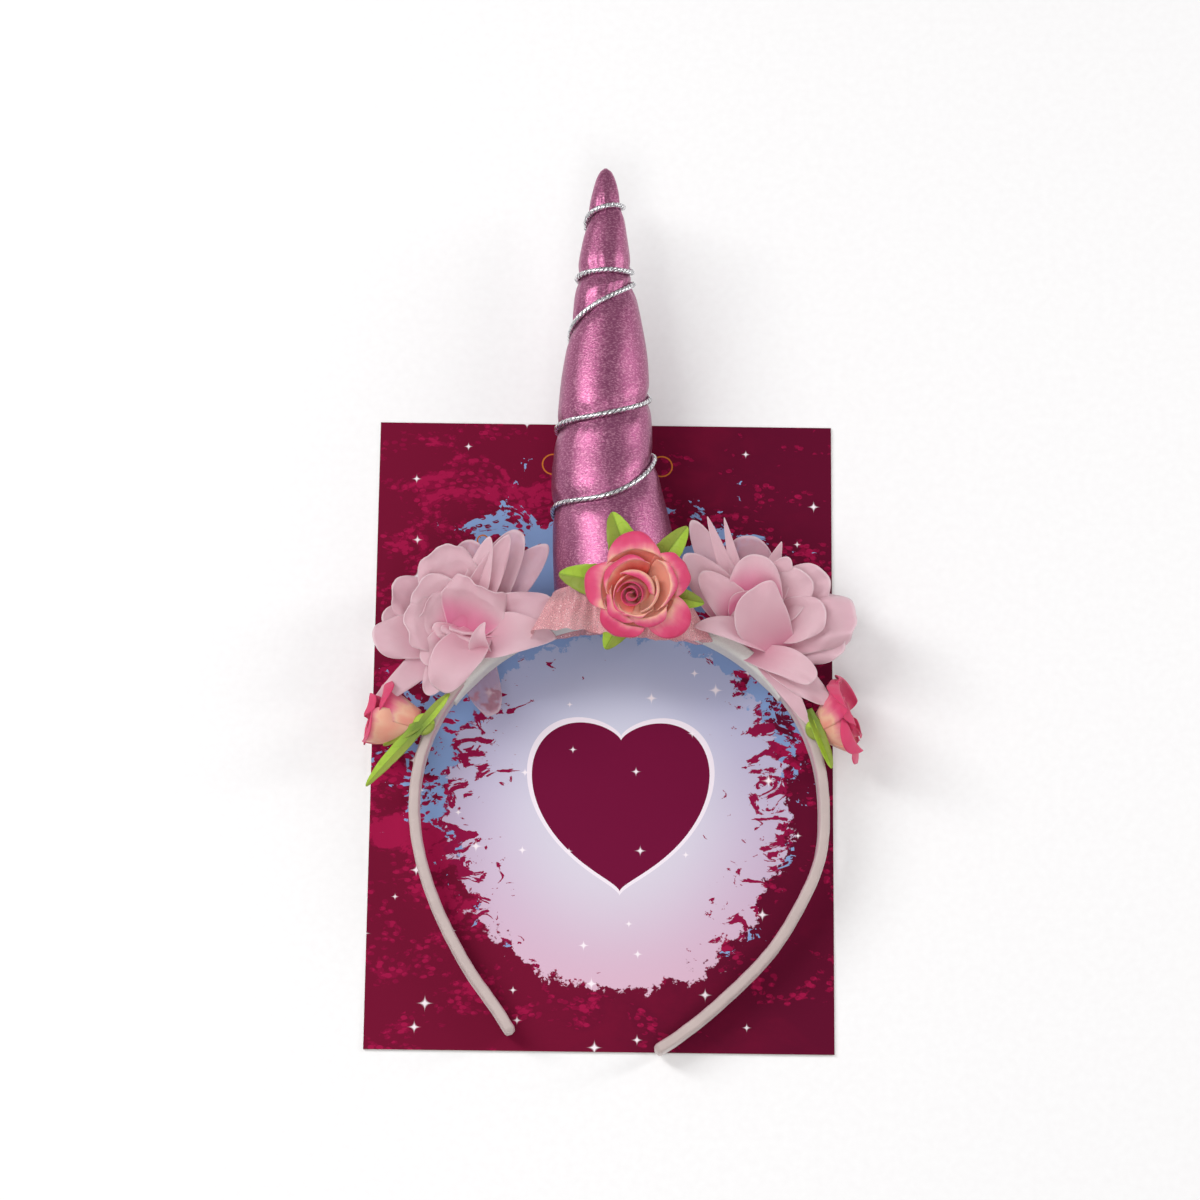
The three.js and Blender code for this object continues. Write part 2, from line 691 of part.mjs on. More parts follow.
const buds = [
  ['left_bud', Math.PI - budAngle, leftBudAxis, leftBudSize, leftBudRadius, leftBudLeaves],
  ['right_bud', budAngle, rightBudAxis, rightBudSize, rightBudRadius, rightBudLeaves],
];
for (const [name, angle, axis, length, radius, leaves] of buds) {
  const foot = archPoint(angle, bandThickness / 2 + clearance).setZ(budRaise);
  const calyxFoot = foot.clone().setZ(bandWidth / 2 + 1.2 * clearance);
  const calyxFrame = flowerFrame(calyxFoot.toArray(), [axis[0] * budLeafTurn, axis[1] * budLeafTurn, 1]);
  const bud = {
    size: { reach: radius, depth: length, width: radius },
    grid: smallGrid,
    frame: flowerFrame(foot.toArray(), axis),
  };
  lay(`${name}_calyx`, 'leaf', (grow) => leafRing(leaves, budSeat, calyxFrame, grow));
  layFlower(name, 'rose', bud, [
    ['outer', budOuterPetals, budSeat, 1],
    ['core', budCorePetals, budCoreSeat, 2],
  ]);
}
headband.add(...pieces);

const card = new THREE.Mesh(
  new THREE.BoxGeometry(cardWidth, cardLength, cardThickness).translate(0, 0, cardThickness / 2),
  finishes.card,
);
card.name = 'backing_card';

const object = new THREE.Group();
object.add(card, headband);

export default object;
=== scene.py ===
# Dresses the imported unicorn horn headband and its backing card: foil horn, silver cord, satin hoop,
# felt lining, glitter net, cloth flowers and print. The settings are millimetres in the headband's own
# frame (x right, y from the hoop's middle to the horn's tip, z toward the viewer) unless they say otherwise.
import math

import bpy
import numpy as np
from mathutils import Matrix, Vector


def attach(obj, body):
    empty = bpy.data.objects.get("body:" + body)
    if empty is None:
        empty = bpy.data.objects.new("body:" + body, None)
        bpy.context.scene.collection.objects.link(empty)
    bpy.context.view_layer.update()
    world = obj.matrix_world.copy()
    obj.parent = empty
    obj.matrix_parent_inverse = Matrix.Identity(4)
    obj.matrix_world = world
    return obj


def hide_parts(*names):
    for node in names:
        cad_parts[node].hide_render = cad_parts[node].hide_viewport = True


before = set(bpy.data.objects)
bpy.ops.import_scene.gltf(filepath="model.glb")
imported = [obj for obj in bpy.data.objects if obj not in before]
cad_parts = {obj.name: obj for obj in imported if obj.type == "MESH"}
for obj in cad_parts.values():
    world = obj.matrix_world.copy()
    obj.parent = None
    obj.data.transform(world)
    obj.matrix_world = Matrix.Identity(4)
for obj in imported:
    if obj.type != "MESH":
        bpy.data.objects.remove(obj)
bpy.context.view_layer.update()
print("frame loaded:", len(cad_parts), "solids")

headband = {"lean": math.radians(5.5), "place": (5.45, -28.1, 13.58)}


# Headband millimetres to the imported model's metres: turned about x by the lean, then moved to its place
def toWorld(points):
    x, y, z = np.moveaxis(np.asarray(points, float), -1, 0)
    c, s = math.cos(headband["lean"]), math.sin(headband["lean"])
    return (np.stack([x, y * c - z * s, y * s + z * c], -1) + headband["place"]) * 0.001


def unit(vectors):
    return vectors / np.maximum(np.linalg.norm(vectors, axis=-1, keepdims=True), 1e-12)


# 0 up to low, 1 from high on, and an S-shaped rise between them
def smooth(value, low, high):
    part = np.clip((value - low) / (high - low), 0, 1)
    return part * part * (3 - 2 * part)


# A table's column read at any place on its first column: cubics between rows, slopes from the neighbours
def readTable(rows, column, place):
    table = np.array(rows, float)
    keys, values, count = table[:, 0], table[:, column], len(rows)
    before, after = np.maximum(np.arange(count) - 1, 0), np.minimum(np.arange(count) + 1, count - 1)
    slopes = (values[after] - values[before]) / (keys[after] - keys[before])
    low = np.clip(np.searchsorted(keys, place) - 1, 0, count - 2)
    span = keys[low + 1] - keys[low]
    t = np.clip((place - keys[low]) / span, 0, 1)
    ends = values[low] * (2 * t**3 - 3 * t**2 + 1) + values[low + 1] * (3 * t**2 - 2 * t**3)
    return ends + span * (slopes[low] * (t**3 - 2 * t**2 + t) + slopes[low + 1] * (t**3 - t**2))


# Smooth wandering between -1 and 1: a few sines of unrelated pitch and phase, summed
def wander(seed, *coords):
    draw = np.random.default_rng(seed)
    total = 0
    for strength in (0.5, 0.3, 0.2):
        slopes = draw.uniform(0.6, 1.6, len(coords)) * draw.choice([-1, 1], len(coords)) * 0.5 / strength
        phase = draw.uniform(0, 2 * math.pi)
        total = total + strength * np.sin(sum(c * slope for c, slope in zip(coords, slopes)) + phase)
    return total


class Surface:
    # Grids of world points gathered into one mesh, with a corner UV and three numbers kept for each grid
    def __init__(self):
        self.points, self.faces, self.corners, self.marks, self.count = [], [], [], [], 0

    # Adds rows x columns points as quads. A closed grid joins its last column to its first, and ends in
    # fans round the middle of its end rows.
    def addGrid(self, points, mark=(0.0, 0.0, 0.0), closed=False):
        rows, columns = points.shape[:2]
        i, j = np.meshgrid(np.arange(rows - 1), np.arange(columns if closed else columns - 1), indexing="ij")
        i, j = i.ravel(), j.ravel()
        steps = np.array([(0, 0), (0, 1), (1, 1), (1, 0)])
        down, across = i[:, None] + steps[:, 0], j[:, None] + steps[:, 1]
        quads = down * columns + across % columns
        uv = np.stack([across / (columns if closed else columns - 1), down / (rows - 1)], -1)
        flat = points.reshape(-1, 3)
        if closed:
            middles = np.stack([points[0].mean(0), points[-1].mean(0)])
            ring = np.arange(columns)
            nextOne = (ring + 1) % columns
            foot = np.stack([nextOne, ring, np.full(columns, rows * columns)], -1)
            top = np.stack([ring, nextOne, np.full(columns, 1)], -1) + (rows - 1) * columns
            top[:, 2] = rows * columns + 1
            flat = np.concatenate([flat, middles])
            x, y, z = (flat[quads[:, k]] for k in range(3))
            if np.einsum("ij,ij->i", x, np.cross(y, z)).sum() < 0:
                quads, uv = quads[:, ::-1], uv[:, ::-1]
                foot, top = foot[:, ::-1], top[:, ::-1]
            for fan, level in ((foot, 0), (top, 1)):
                self.faces += (fan + self.count).tolist()
                self.corners += [np.full((len(fan) * 3, 2), (0.5, level))]
        self.points.append(flat)
        self.faces += (quads + self.count).tolist()
        self.corners.append(uv.reshape(-1, 2))
        self.marks.append(np.tile(np.array(mark, float), (len(flat), 1)))
        self.count += len(flat)

    # Makes the piece, rides it on the body, and hides the imported nodes that it stands for
    def piece(self, name, finish, slot, nodes):
        mesh = bpy.data.meshes.new(name)
        mesh.from_pydata(np.concatenate(self.points).tolist(), [], self.faces)
        mesh.polygons.foreach_set("use_smooth", np.ones(len(mesh.polygons), bool))
        mesh.uv_layers.new(name="cloth").data.foreach_set("uv", np.concatenate(self.corners).ravel())
        kept = mesh.attributes.new("petal", "FLOAT_VECTOR", "POINT")
        kept.data.foreach_set("vector", np.concatenate(self.marks).ravel())
        mesh.materials.append(finish)
        made = bpy.data.objects.new(name, mesh)
        bpy.context.scene.collection.objects.link(made)
        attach(made, "root")
        if nodes:
            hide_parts(*nodes)
        return made


# A wall for a thin sheet, half to each side of it
def thicken(piece, wall):
    solid = piece.modifiers.new("wall", "SOLIDIFY")
    solid.thickness, solid.offset, solid.use_even_offset = wall * 0.001, 0, False


# A colour from its screen value, such as 0xdcb4c8, to the linear one that a shader takes
def tint(value):
    parts = np.array([value >> 16 & 255, value >> 8 & 255, value & 255]) / 255
    return (*np.where(parts < 0.04045, parts / 12.92, ((parts + 0.055) / 1.055) ** 2.4), 1.0)


class Wire:
    # A socket in a material's node tree. An expression on wires and numbers adds its Math nodes.
    def __init__(self, tree, socket=None):
        self.tree, self.socket = tree, socket

    # Adds a node of any type: its settings, then the values or wires of its inputs; gives one output
    def node(self, kind, settings=None, inputs=None, output=0):
        made = self.tree.nodes.new("ShaderNode" + kind)
        for key, value in (settings or {}).items():
            if key == "stops":
                ramp = made.color_ramp.elements
                for element, (position, colour) in ((ramp[0], value[0]), (ramp[1], value[-1])):
                    element.position, element.color = position, colour
                for position, colour in value[1:-1]:
                    ramp.new(position).color = colour
            else:
                setattr(made, key, value)
        for key, value in (inputs or {}).items():
            if isinstance(value, Wire):
                self.tree.links.new(value.socket, made.inputs[key])
            else:
                made.inputs[key].default_value = value
        return Wire(self.tree, made.outputs[output])

    def math(self, operation, *values):
        return self.node("Math", {"operation": operation}, dict(enumerate(values)))

    def __add__(self, other):
        return self.math("ADD", self, other)

    def __sub__(self, other):
        return self.math("SUBTRACT", self, other)

    def __rsub__(self, other):
        return self.math("SUBTRACT", other, self)

    def __mul__(self, other):
        return self.math("MULTIPLY", self, other)

    def __truediv__(self, other):
        return self.math("DIVIDE", self, other)

    def __pow__(self, other):
        return self.math("POWER", self, other)

    def __lt__(self, other):
        return self.math("LESS_THAN", self, other)

    def __gt__(self, other):
        return self.math("GREATER_THAN", self, other)

    def __abs__(self):
        return self.math("ABSOLUTE", self)

    __radd__, __rmul__ = __add__, __mul__

    # The wire brought from low..high to 0..1 along an S
    def rise(self, low, high):
        return self.node("MapRange", {"interpolation_type": "SMOOTHSTEP"}, {0: self, 1: low, 2: high})

    # Colour a where this wire is 0, b where it is 1
    def between(self, a, b):
        return self.node("Mix", {"data_type": "RGBA"}, {0: self, 6: a, 7: b}, 2)

    # A vector wire's parts
    def part(self, axis):
        return self.node("SeparateXYZ", None, {0: self}, axis)

    # A vector wire scaled along each axis
    def stretch(self, x, y, z):
        return self.node("VectorMath", {"operation": "MULTIPLY"}, {0: self, 1: (x, y, z)})

    def noise(self, scale, detail=2.0, roughness=0.5, distortion=0.0):
        return self.node("TexNoise", None, {
            "Vector": self, "Scale": scale, "Detail": detail, "Roughness": roughness, "Distortion": distortion,
        })


# A material with its Principled shader. The fill function gets a wire and returns the shader's inputs;
# what it gives as "bump" is (height wire, strength, depth in millimetres).
def finish(name, fill, **settings):
    material = bpy.data.materials.new(name)
    material.use_nodes = True
    tree = material.node_tree
    shader = next(n for n in tree.nodes if n.type == "BSDF_PRINCIPLED")
    start = Wire(tree)
    inputs = {**settings, **fill(start)}
    bump = inputs.pop("bump", None)
    if bump:
        height, strength, depth = bump
        inputs["Normal"] = start.node("Bump", None, {
            "Height": height, "Strength": strength, "Distance": depth * 0.001,
        })
    for key, value in inputs.items():
        if isinstance(value, Wire):
            tree.links.new(value.socket, shader.inputs[key])
        else:
            shader.inputs[key].default_value = value
    return material


# Object coordinates in millimetres
def objectPlace(start):
    return start.node("TexCoord", None, None, 3).stretch(1000, 1000, 1000)


def clothPlace(start):
    return start.node("UVMap", {"uv_map": "cloth"})


# What each petal keeps: how far its deep colour climbs, how clear it is, and a number to tell it by
def petalMark(start):
    marks = start.node("Attribute", {"attribute_name": "petal"}, None, 1)
    return marks.part(0), marks.part(1), marks.part(2)


studio = {
    "cameraPlace": (-6.98, -404.47, 1356.36),  # world millimetres, from the card's corners in the photograph
    "cameraTurn": (18.319, -0.45, 0.633),  # degrees about x, y and z
    "lens": 132.0,
    "sensor": 36.0,
    "near": 0.05,  # metres that the camera sees from
    "far": 20,  # metres that it sees to
    "air": (1.0, 0.985, 0.99, 1),  # colour of the light from all round
    "airStrength": 0.42,
    "floor": 6.0,  # metres across
    "floorUnder": 0.0002,  # metres below the card's back
}
camera = bpy.data.objects.new("camera", bpy.data.cameras.new("camera"))
camera.data.lens, camera.data.sensor_width = studio["lens"], studio["sensor"]
camera.data.clip_start, camera.data.clip_end = studio["near"], studio["far"]
camera.location = [value * 0.001 for value in studio["cameraPlace"]]
camera.rotation_euler = [math.radians(value) for value in studio["cameraTurn"]]
bpy.context.scene.collection.objects.link(camera)
bpy.context.scene.camera = camera
bpy.context.scene.view_settings.view_transform = "Standard"

world = bpy.data.worlds.new("studio")
world.use_nodes = True
world.node_tree.nodes["Background"].inputs[0].default_value = studio["air"]
world.node_tree.nodes["Background"].inputs[1].default_value = studio["airStrength"]
bpy.context.scene.world = world

# Lamps: place and target in world millimetres, size across and along in millimetres, power in watts
lamps = {
    "left": ((-760, 330, 960), (0, 60, 0), (240, 900), 7.5),
    "right": ((1020, 300, 560), (0, 60, 0), (200, 900), 3.8),
    "front": ((-100, -700, 1300), (0, 0, 0), (800, 500), 6.0),
}
for name, (place, target, size, power) in lamps.items():
    light = bpy.data.lights.new(name, "AREA")
    light.shape, light.energy = "RECTANGLE", power
    light.size, light.size_y = size[0] * 0.001, size[1] * 0.001
    lamp = bpy.data.objects.new(name, light)
    lamp.location = Vector(place) * 0.001
    lamp.rotation_euler = (Vector(place) - Vector(target)).to_track_quat("Z", "Y").to_euler()
    bpy.context.scene.collection.objects.link(lamp)


def floorFill(start):
    speck = objectPlace(start).noise(0.4, 3)
    return {"Base Color": speck.between(tint(0xf4f3f3), tint(0xfafafa))}


floorHalf = studio["floor"] / 2
floorSides = (-1, -1), (1, -1), (1, 1), (-1, 1)
floorCorners = [(x * floorHalf, y * floorHalf, -studio["floorUnder"]) for x, y in floorSides]
floorMesh = bpy.data.meshes.new("floor")
floorMesh.from_pydata(floorCorners, [], [(0, 1, 2, 3)])
floorMesh.materials.append(finish("floor_paper", floorFill, Roughness=0.9))
floor = bpy.data.objects.new("floor", floorMesh)
bpy.context.scene.collection.objects.link(floor)
print("camera, lamps and floor ready")


# The hoop: satin wrapped round a flat strip. Legs: how far out and down each bend lies, as shares
band = {
    "halfWidth": 64.75,  # to the middle of the strip's wall
    "rise": 61.8,  # of the arch over the hoop's widest place
    "drop": 78.3,  # of the longer leg below it
    "thickness": 3.6,
    "width": 10.0,
    "left": [(0.506, 0.935), (0.580, 0.840), (0.728, 0.668), (0.880, 0.430), (0.972, 0.203)],
    "right": [(0.980, 0.216), (0.870, 0.428), (0.725, 0.612), (0.475, 0.820), (0.288, 0.945), (0.186, 1.000)],
    "archSpots": 13,  # places read along the arch
    "rings": 520,
    "sides": 64,
    "corner": 0.42,  # power of the section's sine and cosine: 1 is an ellipse, 0 a box
    "pucker": 0.09,  # depth of the wrinkles in the satin
    "groove": 0.30,  # depth of the line where the satin's edge is turned over
    "grooveAt": (2.28, 0.10),  # its place and half its width round the section, in radians
    "endRound": 1.6,  # length over which the ends are drawn in
    "endShare": 0.1,  # how thick the very end still is
}


# A point of the arch: a half ellipse, moved out along its own normal
def archPoint(angle, offset=0.0):
    x, y = band["halfWidth"] * np.cos(angle), band["rise"] * np.sin(angle)
    out = unit(np.stack([x / band["halfWidth"] ** 2, y / band["rise"] ** 2], -1))
    return np.stack([x + offset * out[..., 0], y + offset * out[..., 1], 0 * x], -1)


# Middle line of the hoop, read evenly from its bends: up the left leg, over the arch, down the right leg
def hoopPath(count):
    left = [(-out * band["halfWidth"], -down * band["drop"]) for out, down in band["left"]]
    right = [(out * band["halfWidth"], -down * band["drop"]) for out, down in band["right"]]
    arch = archPoint(np.linspace(math.pi, 0, band["archSpots"]))[:, :2].tolist()
    bends = np.array(left + arch + right)
    run = np.concatenate([[0], np.cumsum(np.linalg.norm(np.diff(bends, axis=0), axis=1))])
    rows = np.column_stack([run, bends])
    along = np.linspace(0, run[-1], count)
    return np.stack([readTable(rows, 1, along), readTable(rows, 2, along), 0 * along], -1), along


# Satin skin: a rounded box section carried along the hoop, drawn in to a round at both ends, with fine
# wrinkles across it and a groove down the inner front edge where the satin is turned over
def hoopSkin():
    path, along = hoopPath(band["rings"])
    ahead = unit(np.gradient(path, axis=0))
    out = np.stack([-ahead[:, 1], ahead[:, 0], 0 * along], -1)[:, None]
    turn = np.linspace(0, 2 * math.pi, band["sides"], endpoint=False)[None, :]
    along = along[:, None]
    shape = lambda part: np.sign(part) * np.abs(part) ** band["corner"]
    end = np.clip(np.minimum(along, along[-1] - along) / band["endRound"], 0, 1)
    draw = np.sqrt(1 - (1 - end) ** 2) * (1 - band["endShare"]) + band["endShare"]
    wrinkle = band["pucker"] * wander(3, along * 1.1, turn * 1.5) * (0.6 + 0.4 * np.sin(turn))
    grooveTurn, grooveHalf = band["grooveAt"]
    groove = band["groove"] * np.exp(-((turn - grooveTurn) / grooveHalf) ** 2)
    thick = (band["thickness"] / 2 + wrinkle - groove) * shape(np.cos(turn)) * draw
    deep = (band["width"] / 2 + wrinkle - groove) * shape(np.sin(turn)) * draw
    return path[:, None] + out * thick[..., None] + np.array([0, 0, 1]) * deep[..., None]


# Satin: pinkish beige with a silky sheen, a fine weave, and a pink line of painted shade down the inner
# front edge
def satinFill(start):
    place = objectPlace(start)
    turn = clothPlace(start).part(0)
    drift = place.noise(0.12, 3)
    # painted shade: a darker pink line down the inner front edge
    pink = abs(turn - 0.41).rise(0.09, 0.02)
    shade = drift.between(tint(0xb4a3a0), tint(0xc8b6b1))
    base = (pink * 0.75).between(shade, tint(0xbb8d99))
    weave = place.noise(2.6, 2, 0.6)
    return {
        "Base Color": base,
        "Roughness": place.noise(0.5, 2) * 0.16 + 0.34,
        "bump": (weave + place.stretch(0.5, 2.2, 0.5).noise(0.5, 3) * 1.5, 0.35, 0.25),
    }


satin = finish("satin", satinFill, **{
    "Sheen Weight": 0.35, "Sheen Roughness": 0.35, "Specular IOR Level": 0.55,
})
hoop = Surface()
hoop.addGrid(toWorld(hoopSkin()), closed=True)
hoopPiece = hoop.piece("satin_hoop", satin, "satin", ["band"])
print("hoop wrapped")

lining = {
    "from": 147,  # degrees round the arch
    "to": 36,
    "wall": 0.8,
    "inset": 2.5,  # from the middle of the hoop's wall
    "back": -4.5,
    "front": 5.45,
    "lip": 3.6,  # how far the strip goes on over the front edge
    "bend": 1.1,  # radius of its turn there
    "taper": (0.80, 0.97),  # radians from the strip's middle over which its ends narrow
    "shorter": 4.0,  # how much less tall the ends are
    "steps": 220,
    "across": 26,
}


# Felt strip: up the hoop's inner face, round its front edge and a little way over it, with uneven edges
def liningSheet():
    angle = np.radians(np.linspace(lining["from"], lining["to"], lining["steps"]))[:, None]
    across = np.linspace(0, 1, lining["across"])[None, :]
    end, bend = smooth(np.abs(angle - angle.mean()), *lining["taper"]), lining["bend"]
    tall = lining["front"] - lining["back"] - lining["shorter"] * end
    lip = lining["lip"] * (1 - end) + 0.15 * wander(11, angle * 40)
    run = across * (tall + lip)
    turn = np.clip((run - tall + bend) / (bend * math.pi / 2), 0, 1) * math.pi / 2
    over = np.maximum(run - tall + bend - bend * math.pi / 2, 0)
    deep = lining["back"] + np.minimum(run, tall - bend) + bend * np.sin(turn)
    out = -lining["inset"] + 0.5 * end + bend * (1 - np.cos(turn)) + over
    return archPoint(angle + 0 * across, out) + np.array([0, 0, 1]) * deep[..., None]


def feltFill(start):
    place = objectPlace(start)
    fuzz = place.noise(1.6, 4, 0.7)
    return {
        "Base Color": fuzz.between(tint(0xd3d3cd), tint(0xeeeeea)),
        "bump": (fuzz + place.noise(5.0, 2), 0.6, 0.3),
    }


felt = finish("lining_felt", feltFill, Roughness=0.95, **{"Sheen Weight": 0.3})
strip = Surface()
strip.addGrid(toWorld(liningSheet()))
thicken(strip.piece("felt_lining", felt, "lining_felt", ["band_lining"]), lining["wall"])
print("lining laid")

# The stuffed horn. Sections: height, radius and sway, as shares. Turns of the cord: whole turns at the
# left side, quarters at the front, and the height up the horn
horn = {
    "radius": 20.0,
    "length": 149.7,
    "foot": (-1.25, 61.5),
    "sway": -5.4,  # how far the tip lies to the side of the foot
    "front": 0.9,  # depth toward the viewer, as a share of the radius
    "back": 0.8,  # the same, away from the viewer
    "tip": 0.5,  # least radius
    "sections": [
        (0.000, 1.000, 0.00), (0.119, 0.978, 0.22), (0.207, 0.944, 0.43), (0.296, 0.872, 0.74),
        (0.360, 0.800, 0.88), (0.430, 0.765, 0.91), (0.519, 0.715, 0.91), (0.580, 0.660, 0.85),
        (0.655, 0.560, 0.83), (0.722, 0.485, 0.93), (0.790, 0.425, 0.97), (0.882, 0.310, 0.93),
        (0.927, 0.245, 0.98), (0.973, 0.160, 1.00), (0.992, 0.095, 1.00), (1.000, 0.030, 1.00),
    ],
    "turns": [
        (-0.50, 0.087), (-0.25, 0.154), (0.00, 0.226), (0.25, 0.240), (0.50, 0.349), (0.75, 0.383),
        (1.00, 0.408), (1.25, 0.422), (1.50, 0.480), (1.75, 0.556), (2.00, 0.624), (2.25, 0.688),
        (2.50, 0.738), (2.75, 0.744), (3.00, 0.748), (3.25, 0.754), (3.50, 0.764), (3.75, 0.822),
        (4.00, 0.878), (4.25, 0.904), (4.50, 0.912), (4.75, 0.922),
    ],
    "pinch": (1.2, 3.6),  # depth that the cord presses in, and how far the dent reaches
    "pucker": 0.09,  # height of the small folds that run out from under the cord
    "folds": 17,  # how many of them go round the horn
    "foldAt": (3.2, 2.6),  # how far from the cord they lie, and how far they reach
    "dent": 0.35,  # slow unevenness of the stuffing
    "rings": 460,
    "sides": 176,
    "crowd": 1.15,  # power that brings the rings closer together toward the tip
}


# How far a place on the horn lies from the nearest pass of the cord, up the horn
def cordAway(height, angle):
    first, last = horn["turns"][0][0], horn["turns"][-1][0]
    part = angle / (2 * math.pi) % 1
    away = np.full(np.broadcast(height, angle).shape, 99.0)
    for whole in range(math.floor(first), math.ceil(last)):
        turn = part + whole
        here = (height - readTable(horn["turns"], 1, turn)) * horn["length"]
        near = (turn >= first) & (turn <= last) & (np.abs(here) < np.abs(away))
        away = np.where(near, here, away)
    return away


# A point of the horn: its section's radius less the cord's dent, turned from the left side to the front
def hornPoint(height, angle, offset=0.0):
    share = readTable(horn["sections"], 1, height)
    depth, reach = horn["pinch"]
    pinch = depth * np.exp(-((cordAway(height, angle) / reach) ** 2)) * np.minimum(1, 2 * share)
    radius = np.maximum(horn["radius"] * share - pinch + offset, horn["tip"])
    flat = np.where(np.sin(angle) > 0, horn["front"], horn["back"])
    middle = horn["foot"][0] + horn["sway"] * readTable(horn["sections"], 2, height)
    y = horn["foot"][1] + height * horn["length"] + 0 * angle
    return np.stack([middle - radius * np.cos(angle), y, radius * np.sin(angle) * flat], -1)


# Foil cloth drawn over the stuffing: the horn's point, with slow dents and small folds beside the cord
def hornSkin():
    height = (1 - (1 - np.linspace(0, 1, horn["rings"])) ** horn["crowd"])[:, None]
    angle = np.linspace(0, 2 * math.pi, horn["sides"], endpoint=False)[None, :]
    tall = height * horn["length"]
    away = cordAway(height, angle)
    beside, reach = horn["foldAt"]
    swing = angle * horn["folds"] + 3 * wander(5, tall * 0.2, angle)
    fold = np.exp(-(((np.abs(away) - beside) / reach) ** 2)) * np.sin(swing)
    slow = wander(8, tall * 0.09, np.sin(angle) * 2, np.cos(angle) * 2)
    share = readTable(horn["sections"], 1, height)
    uneven = (horn["pucker"] * fold + horn["dent"] * slow) * np.minimum(1, 2 * share)
    return hornPoint(height, angle, uneven)


# Foil knit: mauve metal, crinkled in fine level lines, with painted glints: their peaks coloured lighter
def foilFill(start):
    place = objectPlace(start)
    crinkle = place.stretch(1.0, 2.0, 1.0).noise(1.25, 3, 0.65, 0.2)
    knit = place.stretch(0.7, 3.6, 0.7).noise(1.7, 2, 0.5)
    cloudy = place.noise(0.06, 2)
    base = cloudy.between(tint(0x934f74), tint(0xa1597e))
    return {
        # painted glints: the crinkles' peaks are coloured a lighter mauve
        "Base Color": crinkle.rise(0.48, 0.62).between(base, tint(0xc584a1)),
        "Roughness": crinkle * 0.34 + 0.17,
        "bump": (crinkle * 1.0 + knit * 0.4, 0.5, 0.16),
    }


foil = finish("horn_foil", foilFill, Metallic=0.85)
sleeve = Surface()
sleeve.addGrid(toWorld(hornSkin()), closed=True)
hornPiece = sleeve.piece("foil_horn", foil, "horn_lame", ["horn"])
print("horn stuffed")

cord = {
    "diameter": 1.7,
    "lift": 0.95,  # from the pinched cloth to the cord's middle
    "strands": 3,
    "pitch": 5.0,  # one whole turn of a strand
    "valley": 0.66,  # radius between two strands, as a share of the cord's
    "crest": 0.38,  # how much a strand rises above that
    "steps": 1700,
    "sides": 24,
}


# Twisted cord: a lobed section, one lobe for each strand, that turns as it follows the horn's windings
def cordSkin():
    turn = np.linspace(horn["turns"][0][0], horn["turns"][-1][0], cord["steps"])
    height, angle = readTable(horn["turns"], 1, turn), turn * 2 * math.pi
    path = hornPoint(height, angle % (2 * math.pi), cord["lift"])
    ahead = unit(np.gradient(path, axis=0))
    out = np.stack([-np.cos(angle), 0 * angle, np.sin(angle)], -1)
    side = unit(np.cross(ahead, out))
    up = np.cross(side, ahead)
    run = np.concatenate([[0], np.cumsum(np.linalg.norm(np.diff(path, axis=0), axis=1))])
    theta = np.linspace(0, 2 * math.pi, cord["sides"], endpoint=False)[None, :]
    lobe = np.abs(np.cos(cord["strands"] / 2 * (theta - 2 * math.pi * run[:, None] / cord["pitch"])))
    radius = cord["diameter"] / 2 * (cord["valley"] + cord["crest"] * np.sqrt(lobe))
    sideways, upwards = (np.cos(theta) * radius)[..., None], (np.sin(theta) * radius)[..., None]
    spokes = side[:, None] * sideways + up[:, None] * upwards
    return path, path[:, None] + spokes, run[-1]


# Silver thread: bright metal with painted glints, and painted shade in the valleys between the strands:
# a cosine of the way round less the strands' turn along the cord, as in its section
def silverFill(start):
    place, onCloth = objectPlace(start), clothPlace(start)
    turn = (onCloth.part(0) - onCloth.part(1) * (cordLength / cord["pitch"])) * (math.pi * cord["strands"])
    lobe = abs(turn.math("COSINE", turn))
    glint = place.noise(2.2, 3)
    # painted glints: whiter where the noise is high
    bright = glint.rise(0.35, 0.6).between(tint(0xc4c2c9), tint(0xffffff))
    return {
        # painted shade: dark grey in the valleys between the strands
        "Base Color": (lobe.rise(0.60, 0.15) * 0.85).between(bright, tint(0x4a4850)),
        "Roughness": glint * 0.2 + 0.12,
        "bump": (place.noise(4.0, 2), 0.3, 0.05),
    }


cordPath, cordGrid, cordLength = cordSkin()
silver = finish("silver_thread", silverFill, Metallic=0.95)
winding = Surface()
winding.addGrid(toWorld(cordGrid), closed=True)
cordPiece = winding.piece("silver_winding", silver, "silver_cord", ["horn_cord"])
round(cordLength * 0.001, 3)
print("cord wound:", round(cordLength), "mm")

# Gathered net round the horn's foot: flares at the sides, falls low in front and behind, in deep ruffles
net = {
    "gap": 0.9,  # between the horn and the gathered edge
    "height": 6.5,  # of the gathered edge above the horn's foot
    "side": (8.0, 17.0),  # reach and drop at the sides
    "front": (-2.0, 17.0),
    "back": (-1.0, 9.0),
    "hang": 3.0,  # how much lower the front falls at the right than at the left
    "forward": 10.0,  # how far the sides' free edge comes toward the viewer, over the hoop
    "ruffles": 12,
    "depth": 1.8,  # of a ruffle at the free edge
    "pleats": 46,
    "pleatDepth": 0.45,
    "pleatFade": 0.6,  # how much of a pleat is gone at the free edge
    "uneven": 0.5,  # height of the slow waves in the ruffles and in the free edge
    "columns": 520,
    "rows": 36,
}


